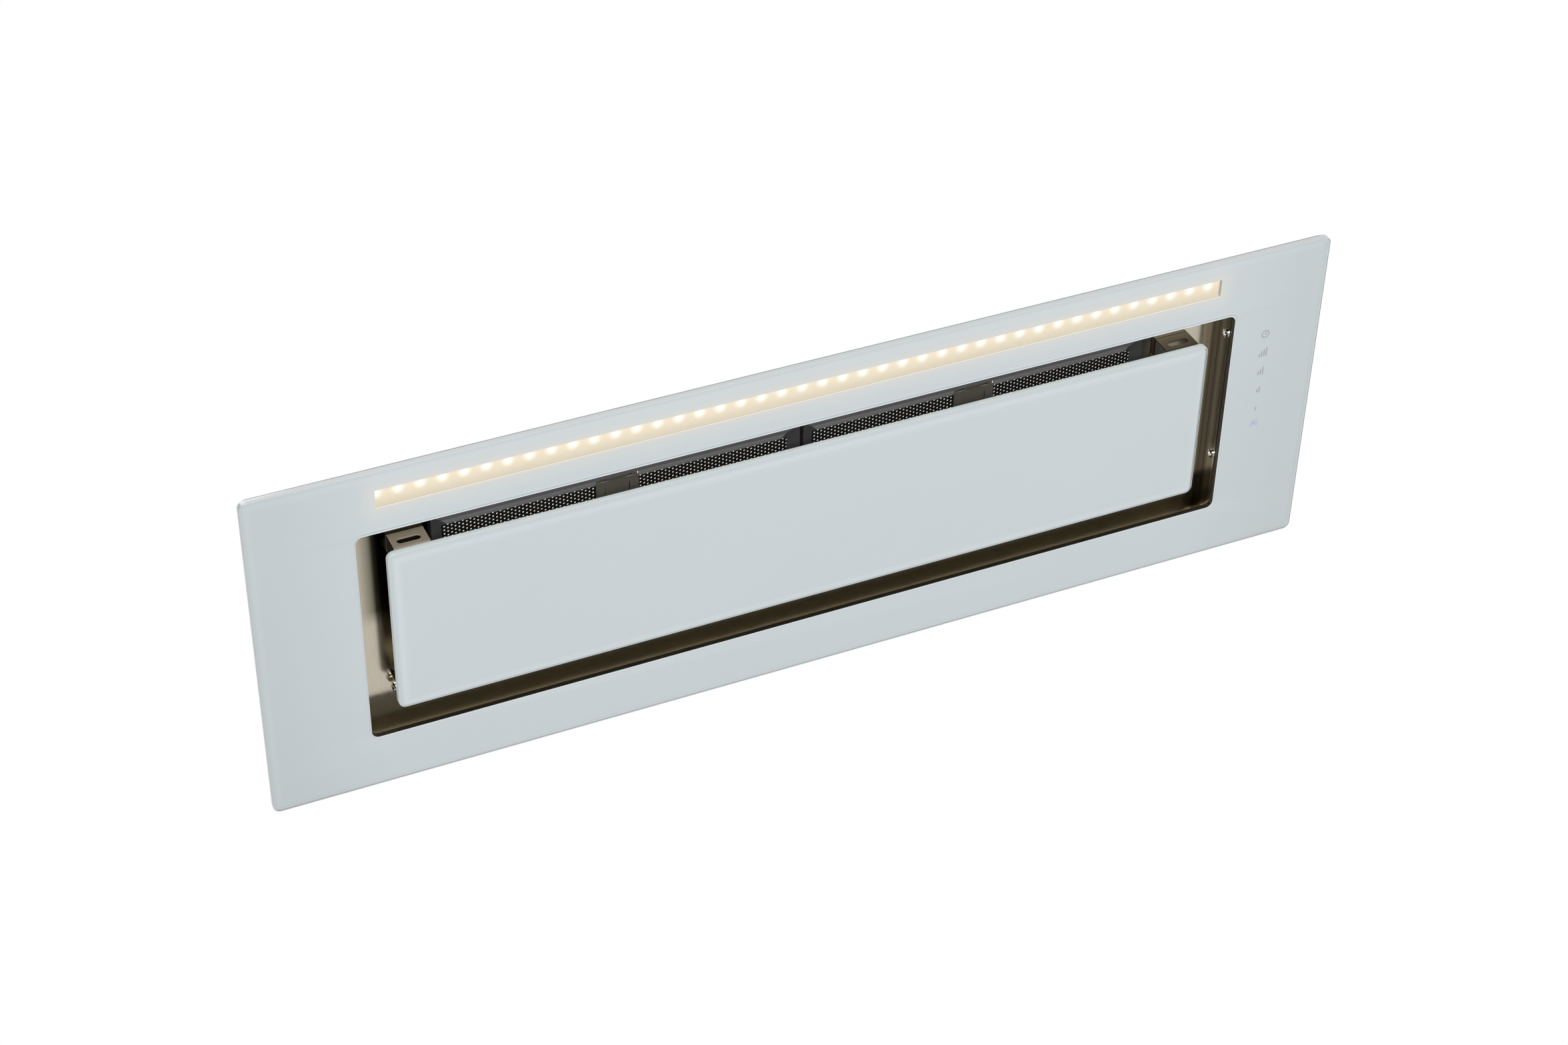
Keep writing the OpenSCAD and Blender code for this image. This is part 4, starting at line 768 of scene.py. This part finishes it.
def make_face_glass():
    """Face glass with its opening, the lamp window cut out."""
    low, high = box_of("face_glass")
    size = (high.x - low.x, high.y - low.y)
    outlines = [((0, 0), size, FACE_CORNER_R), (OPENING_CENTRE, OPENING_SIZE, OPENING_CORNER_R)]
    bm = plate("face_glass_plate", outlines, low.z + FILM, high.z, GLASS_EDGE_R)
    cut_window(bm)
    mark_glass_edges(bm, OPENING_REACH)
    finishes = [face_glass_finish(size), glass_side, glass_inner_side]
    piece = finished("face_glass_plate", bm, finishes, "hood", SMOOTH_ANGLE)
    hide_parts("face_glass")


def make_centre_glass():
    """Glass of the centre panel, with painted highlight and reflection lines along its edges and painted
    light on its sides.
    """
    low, high = box_of("centre_glass")
    size = (high.x - low.x, high.y - low.y)
    centre = (0, (low.y + high.y) / 2)
    outlines = [(centre, size, PANEL_CORNER_R)]
    bm = plate("centre_glass_plate", outlines, low.z + FILM, high.z, GLASS_EDGE_R)
    mark_glass_edges(bm)
    edges = (NEAR_PANEL_EDGE, REAR_PANEL_EDGE, RIGHT_PANEL_EDGE)
    white, level = white_glass("white_glass_panel", centre, size, PANEL_CORNER_R, *edges)
    colour_by_level(white, level)
    piece = finished("centre_glass_plate", bm, [white, panel_side_painted_light], "panel", SMOOTH_ANGLE)
    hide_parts("centre_glass")


make_face_glass()
make_centre_glass()


# Lamp window: a clear face in front of the lit diffuser

# Faces of the block that point up or down more than this are its back and its front
LENS_FACE_TILT = 0.5
LIGHT_PITCH = 16.67 * MM
LIGHT_SHIFT_X = 3.9 * MM
LIGHT_LINE_SHIFT_Y = -2.8 * MM
# Whole pitches that keep the count of the lights above zero along the lamp, and half a pitch
LIGHTS_BEFORE = 100.5
SPOT_OUTER_R = 6.6 * MM
SPOT_INNER_R = 1.5 * MM
SPOT_SOFTNESS = 1.35
SPOT_WHITE = (1.0, 1.0, 0.93)
# Light along the width of the diffuser, from its front
DIFFUSER_LIGHT = [
    (0.0, (0.78, 0.69, 0.53)),
    (0.3, (0.83, 0.72, 0.545)),
    (0.6, (0.76, 0.665, 0.505)),
    (1.0, (0.66, 0.585, 0.455)),
]
# Light along the height of the window's sides, from the face of the glass
WINDOW_SIDE_LIGHT = [
    (0.0, (0.84, 0.80, 0.68)),
    (0.14, (0.84, 0.80, 0.68)),
    (0.2, (0.50, 0.45, 0.33)),
    (0.34, (0.52, 0.46, 0.34)),
    (0.5, (0.56, 0.51, 0.40)),
    (1.0, (0.62, 0.55, 0.43)),
]


def diffuser_finish():
    """Lit diffuser with a soft white spot over each light."""
    low, high = box_of("lamp_window")
    made = Finish("lit_diffuser", (0.05, 0.05, 0.04), 0.5, Emission_Strength=1.0)
    along = made.maths("ADD", made.axis("X"), LIGHT_PITCH * LIGHTS_BEFORE - LIGHT_SHIFT_X)
    off_x = made.maths("SUBTRACT", made.maths("MODULO", along, LIGHT_PITCH), LIGHT_PITCH / 2)
    off_y = made.maths("SUBTRACT", made.axis("Y"), (low.y + high.y) / 2 + LIGHT_LINE_SHIFT_Y)
    squares = [made.maths("MULTIPLY", off, off) for off in (off_x, off_y)]
    distance = made.maths("SQRT", made.maths("ADD", *squares))
    spot = made.maths("POWER", made.range(distance, SPOT_OUTER_R, SPOT_INNER_R), SPOT_SOFTNESS)
    strip = made.ramp(made.range(made.axis("Y"), low.y, high.y), DIFFUSER_LIGHT)
    made.link(made.mixed(spot, strip, SPOT_WHITE), made.shader.inputs["Emission Color"])
    return made


def window_side_finish():
    """Sides of the lamp window, lit from behind and darker along a line near the face."""
    low, high = box_of("lamp_window")
    made = Finish("lamp_window_side", (0.10, 0.095, 0.08), 0.3, Emission_Strength=1.0)
    height = made.range(made.axis("Z"), low.z, high.z)
    made.link(made.ramp(height, WINDOW_SIDE_LIGHT), made.shader.inputs["Emission Color"])
    return made


def make_lamp_window():
    """Clear block in the window, with the diffuser as its back."""
    low, high = box_of("lamp_window")
    lens = bmesh.new()
    block(lens, low + Vector((0, 0, FILM)), high)
    lens.normal_update()
    for face in lens.faces:
        if face.normal.z < -LENS_FACE_TILT:
            face.material_index = 0
        elif face.normal.z > LENS_FACE_TILT:
            face.material_index = 2
        else:
            face.material_index = 1
    clear_glass = Finish("lamp_window_clear", (1, 1, 1), 0.02, Transmission_Weight=1.0, IOR=1.2)
    finishes = [clear_glass, window_side_finish(), diffuser_finish()]
    piece = finished("lamp_lens", lens, finishes, "hood")
    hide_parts("lamp_window")


make_lamp_window()


# Perforated sheets of the filters

HOLE_PITCH_X = 2.95 * MM
HOLE_PITCH_Y = 3.3 * MM
HOLE_R = 0.8 * MM
HOLE_SIDES = 8
BORDER_RUN = 9 * MM
# How far the sheet lies behind the borders, and the latch plate over the sheet
SHEET_MARGIN = 4.55 * MM
PLATE_COVER = 3 * MM
PLATE_FRONT_COVER = 9 * MM
PLATE_OPENING_END = 31 * MM
# The fold along the front of the sheet
FOLD_W = 4.6 * MM
FOLD_DROP = 0.6 * MM
FOLD_BACK = 1.2 * MM
FOLD_EDGE_R = 0.25 * MM
FOLD_LAP = 0.3 * MM
# Part of the first row of holes that the fold hides
HIDDEN_ROW = 0.75


def hole_cell(bm, x, y):
    """Adds one cell of a perforated sheet: a rectangle with a hole in its middle."""
    place = Matrix.Translation((x, y, 0))
    ring = bmesh.ops.create_circle(bm, segments=HOLE_SIDES, radius=HOLE_R, matrix=place)
    edges = list(dict.fromkeys(edge for vert in ring["verts"] for edge in vert.link_edges))
    grown = bmesh.ops.extrude_edge_only(bm, edges=edges)["geom"]
    for vert in grown:
        if isinstance(vert, bmesh.types.BMVert):
            away = vert.co - Vector((x, y, 0))
            reach = max(abs(away.x), abs(away.y))
            vert.co.x = x + away.x / reach * HOLE_PITCH_X / 2
            vert.co.y = y + away.y / reach * HOLE_PITCH_Y / 2


def repeat(made, name, step, count):
    """Repeats an object in even steps."""
    array = made.modifiers.new(name, "ARRAY")
    array.use_relative_offset = False
    array.use_constant_offset = True
    array.constant_offset_displace = step
    array.count = count


def hole_field(name, pairs, rows):
    """Flat field of holes, in pairs of columns of which the second stands half a pitch further back."""
    unit = bmesh.new()
    hole_cell(unit, HOLE_PITCH_X / 2, HOLE_PITCH_Y / 2)
    hole_cell(unit, HOLE_PITCH_X * 1.5, HOLE_PITCH_Y)
    bmesh.ops.remove_doubles(unit, verts=unit.verts, dist=MERGE_GAP)
    mesh = bpy.data.meshes.new(name)
    unit.to_mesh(mesh)
    unit.free()
    made = bpy.data.objects.new(name, mesh)
    bpy.context.scene.collection.objects.link(made)
    repeat(made, "columns", (2 * HOLE_PITCH_X, 0, 0), pairs)
    repeat(made, "rows", (0, HOLE_PITCH_Y, 0), rows)
    bm = mesh_of(made)
    bmesh.ops.remove_doubles(bm, verts=bm.verts, dist=MERGE_GAP)
    return bm


def sheet_span(side):
    """Left and right end of a sheet, and the front of its fold."""
    frame_low, frame_high = box_of("filter_frame_" + side)
    front = box_of("filter_face_" + side)[0].y + BORDER_RUN - FOLD_BACK
    return frame_low.x + BORDER_RUN - SHEET_MARGIN, frame_high.x - BORDER_RUN + SHEET_MARGIN, front


def perforated_sheet(side):
    """Face sheet of one cassette, open where its latch plate covers it."""
    low_x, high_x, fold_y = sheet_span(side)
    face_low, face_high = box_of("filter_face_" + side)
    plate_low, plate_high = box_of("latch_plate_" + side)
    low_y = fold_y + FOLD_W - HIDDEN_ROW * HOLE_PITCH_Y
    high_y = face_high.y - BORDER_RUN + SHEET_MARGIN
    pairs = round((high_x - low_x) / (2 * HOLE_PITCH_X))
    rows = math.floor((high_y - low_y) / HOLE_PITCH_Y)
    bm = hole_field("filter_sheet_" + side, pairs, rows)
    bmesh.ops.translate(bm, verts=bm.verts, vec=(low_x, low_y, face_low.z))
    behind_plate = []
    for face in bm.faces:
        centre = face.calc_center_median()
        if plate_low.x + PLATE_COVER < centre.x < plate_high.x - PLATE_COVER:
            if plate_low.y + PLATE_FRONT_COVER < centre.y < plate_low.y + PLATE_OPENING_END:
                behind_plate.append(face)
    bmesh.ops.delete(bm, geom=behind_plate, context="FACES")
    everything = bm.verts[:] + bm.edges[:] + bm.faces[:]
    cut_at = (0, fold_y + FOLD_W - FOLD_LAP, 0)
    bmesh.ops.bisect_plane(bm, geom=everything, plane_co=cut_at, plane_no=(0, 1, 0), clear_inner=True)
    piece = finished("filter_sheet_" + side, bm, [sheet_black], "hood")
    thicken = piece.modifiers.new("thickness", "SOLIDIFY")
    thicken.thickness = face_high.z - face_low.z
    thicken.offset = 1 if piece.data.polygons[0].normal.z > 0 else -1
    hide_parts("filter_face_" + side)


def filter_fold(side):
    """Folded front edge of one sheet, left and right of its latch plate."""
    low_x, high_x, fold_y = sheet_span(side)
    face_low, face_high = box_of("filter_face_" + side)
    plate_low, plate_high = box_of("latch_plate_" + side)
    low_z = face_low.z - FOLD_DROP
    high_z = (face_low.z + face_high.z) / 2
    fold = bmesh.new()
    for start, end in ((low_x, plate_low.x), (plate_high.x, high_x)):
        block(fold, (start, fold_y, low_z), (end, fold_y + FOLD_W, high_z), FOLD_EDGE_R)
    finished("filter_fold_" + side, fold, [filter_paint], "hood", SMOOTH_ANGLE)


# Springs of the filter latches

SPRING_TURNS = 7
SPRING_WIRE_R = 0.2 * MM
STEPS_A_TURN = 20
WIRE_SIDES = 8
WIRE_SMOOTH_ANGLE = 60


def latch_spring(side):
    """Coil spring behind one latch, made as a fixed coil. The real spring shortens as the latch slides
    back.
    """
    low, high = box_of("latch_spring_" + side)
    middle = (low + high) / 2
    length = high.y - low.y
    coil_r = (high.x - low.x) / 2 - SPRING_WIRE_R
    rise = (length - 2 * SPRING_WIRE_R) / SPRING_TURNS / STEPS_A_TURN
    start = Vector((middle.x + coil_r, low.y + SPRING_WIRE_R, middle.z))
    coil = bmesh.new()
    place = Matrix.Translation(start)
    bmesh.ops.create_circle(coil, segments=WIRE_SIDES, radius=SPRING_WIRE_R, matrix=place)
    bmesh.ops.spin(
        coil,
        geom=coil.verts[:] + coil.edges[:],
        cent=(middle.x, start.y, middle.z),
        axis=(0, 1, 0),
        dvec=(0, rise, 0),
        angle=2 * math.pi * SPRING_TURNS,
        steps=SPRING_TURNS * STEPS_A_TURN,
        use_duplicate=False,
    )
    bmesh.ops.holes_fill(coil, edges=[edge for edge in coil.edges if edge.is_boundary], sides=0)
    finishes = [spring_wire]
    piece = finished("latch_coil_" + side, coil, finishes, "hood", WIRE_SMOOTH_ANGLE)
    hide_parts("latch_spring_" + side)
    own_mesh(piece)


for filter_side in ("left", "right"):
    perforated_sheet(filter_side)
    filter_fold(filter_side)
    latch_spring(filter_side)


# Symbols of the touch keys, printed on the glass

SYMBOL_X = 395.5 * MM
SYMBOL_PITCH = 17.74 * MM
SYMBOL_MID_Y = -21.45 * MM
LINE_W = 1.2 * MM
BAR_GAP = 2.1 * MM
BAR_FOOT = 4.2 * MM
SHORTEST_BAR = 3.5 * MM
BAR_RISE = 1.7 * MM
FAN_STEPS = 4
CLOCK_R = 3.3 * MM
CLOCK_LINE_W = 0.9 * MM
HAND_W = 0.7 * MM
LONG_HAND = (0.4 * MM, -2.3 * MM)
SHORT_HAND = (1.8 * MM, 0.8 * MM)
BULB_R = 0.9 * MM
BULB_LINE_W = 0.9 * MM
RAY_INNER_R = 2.0 * MM
RAY_OUTER_R = 4.1 * MM
RAYS = 7
RAY_STEP = 42


def symbol_at(number):
    """Place of a key, counted from the front."""
    return Vector((SYMBOL_X, SYMBOL_MID_Y + (number - 2.5) * SYMBOL_PITCH))


def around(centre, radius, degrees):
    """Point on a circle."""
    angle = math.radians(degrees)
    return centre + Vector((math.cos(angle), math.sin(angle))) * radius


def stroke(bm, start, end, width=LINE_W):
    """Adds a straight line between two points on the glass, as thick as the ink."""
    along = end - start
    middle = (start + end) / 2
    turn = Matrix.Rotation(math.atan2(along.y, along.x), 4, "Z")
    size = Matrix.Diagonal((along.length, width, FILM, 1))
    place = Matrix.Translation((middle.x, middle.y, FILM / 2)) @ turn @ size
    bmesh.ops.create_cube(bm, size=1, matrix=place)


def circle(bm, centre, radius, steps, width):
    """Adds a printed circle."""
    for step in range(steps):
        start = around(centre, radius, 360 * step / steps)
        end = around(centre, radius, 360 * (step + 1) / steps)
        stroke(bm, start, end, width)


def bars(bm, count, centre):
    """Adds rising bars, one for each step of the fan."""
    for number in range(count):
        foot = centre + Vector(((number - (count - 1) / 2) * BAR_GAP, BAR_FOOT))
        stroke(bm, foot, foot - Vector((0, SHORTEST_BAR + BAR_RISE * number)))


def make_key_symbols():
    """Clock and fan steps, printed in grey."""
    symbols = bmesh.new()
    clock = symbol_at(0)
    circle(symbols, clock, CLOCK_R, 32, CLOCK_LINE_W)
    for hand in (LONG_HAND, SHORT_HAND):
        stroke(symbols, clock, clock + Vector(hand), HAND_W)
    for key in range(1, FAN_STEPS + 1):
        bars(symbols, FAN_STEPS + 1 - key, symbol_at(key))
    finished("key_symbols", symbols, [symbol_grey], "hood")


def make_lamp_symbol():
    """Lit lamp with rays towards the front."""
    symbol = bmesh.new()
    bulb = symbol_at(5)
    circle(symbol, bulb, BULB_R, 20, BULB_LINE_W)
    for ray in range(RAYS):
        angle = 270 + (ray - (RAYS - 1) / 2) * RAY_STEP
        stroke(symbol, around(bulb, RAY_INNER_R, angle), around(bulb, RAY_OUTER_R, angle))
    finished("key_symbol_lamp", symbol, [symbol_lit], "hood")


make_key_symbols()
make_lamp_symbol()


# Room, light and camera

FLOOR_Z = -3.2
FLOOR_SIZE = 300
# Brightness of the floor by itself, where the camera sees it and where metal or glass mirrors it
FLOOR_SEEN = 0.42
FLOOR_MIRRORED = 0.55
# Brightness of the surroundings as light on the object, and where they are seen or mirrored
SKY_LIGHT = 0.42
SKY_SEEN = 1.0


def make_floor():
    """Pale floor below the object."""
    bm = bmesh.new()
    place = Matrix.Translation((0, 0, FLOOR_Z))
    bmesh.ops.create_grid(bm, x_segments=1, y_segments=1, size=FLOOR_SIZE / 2, matrix=place)
    mesh = bpy.data.meshes.new("floor")
    bm.to_mesh(mesh)
    bm.free()
    floor = bpy.data.objects.new("floor", mesh)
    bpy.context.scene.collection.objects.link(floor)
    made = Finish("pale_floor", (0.86, 0.86, 0.86), 0.8)
    made.shader.inputs["Emission Color"].default_value = (1, 1, 1, 1)
    rays = made.node("ShaderNodeLightPath").outputs
    seen = made.maths("MULTIPLY", rays["Is Camera Ray"], FLOOR_SEEN)
    mirrored = made.maths("MAXIMUM", rays["Is Glossy Ray"], rays["Is Transmission Ray"])
    glow = made.maths("MULTIPLY_ADD", mirrored, FLOOR_MIRRORED, seen)
    made.link(glow, made.shader.inputs["Emission Strength"])
    mesh.materials.append(made.material)


def make_world():
    """Soft pale surroundings that the camera, metal and glass see as white."""
    world = bpy.data.worlds.new("studio")
    bpy.context.scene.world = world
    world.use_nodes = True
    nodes = world.node_tree.nodes
    links = world.node_tree.links
    background = nodes["Background"]
    background.inputs["Color"].default_value = (1, 1, 1, 1)
    rays = nodes.new("ShaderNodeLightPath")
    mirrored = nodes.new("ShaderNodeMath")
    mirrored.operation = "MAXIMUM"
    seen = nodes.new("ShaderNodeMath")
    seen.operation = "MAXIMUM"
    strength = nodes.new("ShaderNodeMapRange")
    strength.inputs["To Min"].default_value = SKY_LIGHT
    strength.inputs["To Max"].default_value = SKY_SEEN
    links.new(rays.outputs["Is Glossy Ray"], mirrored.inputs[0])
    links.new(rays.outputs["Is Transmission Ray"], mirrored.inputs[1])
    links.new(rays.outputs["Is Camera Ray"], seen.inputs[0])
    links.new(mirrored.outputs["Value"], seen.inputs[1])
    links.new(seen.outputs["Value"], strength.inputs["Value"])
    links.new(strength.outputs["Result"], background.inputs["Strength"])


def softbox(name, at, size, power):
    """Square area lamp that faces the middle of the glass."""
    data = bpy.data.lights.new(name, "AREA")
    data.shape = "SQUARE"
    data.size = size
    data.energy = power
    lamp = bpy.data.objects.new(name, data)
    lamp.location = at
    lamp.rotation_euler = (-Vector(at)).to_track_quat("-Z", "Y").to_euler()
    bpy.context.scene.collection.objects.link(lamp)


make_floor()
make_world()
softbox("key_softbox", (-0.75, -2.3, -2.7), 1.3, 76)
softbox("fill_softbox", (2.6, -0.4, -1.8), 2.0, 20)
softbox("top_softbox", (-1.0, -1.6, 3.0), 2.5, 45)

IMAGE_WIDTH = 2352
FOCAL_PIXELS = 4579.3
SENSOR_WIDTH = 36
CAMERA_AT = (-0.811583, -1.441030, -1.679252)
CAMERA_RIGHT = (0.911024, -0.015594, -0.412059)
CAMERA_UP = (0.241377, -0.790024, 0.563560)
CAMERA_BACK = (-0.334325, -0.612878, -0.715966)


def make_camera():
    """Camera at the photograph's place, with its field of view."""
    data = bpy.data.cameras.new("camera")
    data.sensor_width = SENSOR_WIDTH
    data.lens = FOCAL_PIXELS / IMAGE_WIDTH * SENSOR_WIDTH
    data.clip_start = 0.05
    camera = bpy.data.objects.new("camera", data)
    bpy.context.scene.collection.objects.link(camera)
    turn = Matrix((CAMERA_RIGHT, CAMERA_UP, CAMERA_BACK)).transposed().to_4x4()
    camera.matrix_world = Matrix.Translation(CAMERA_AT) @ turn
    bpy.context.scene.camera = camera


make_camera()
bpy.context.scene.view_settings.view_transform = "Standard"
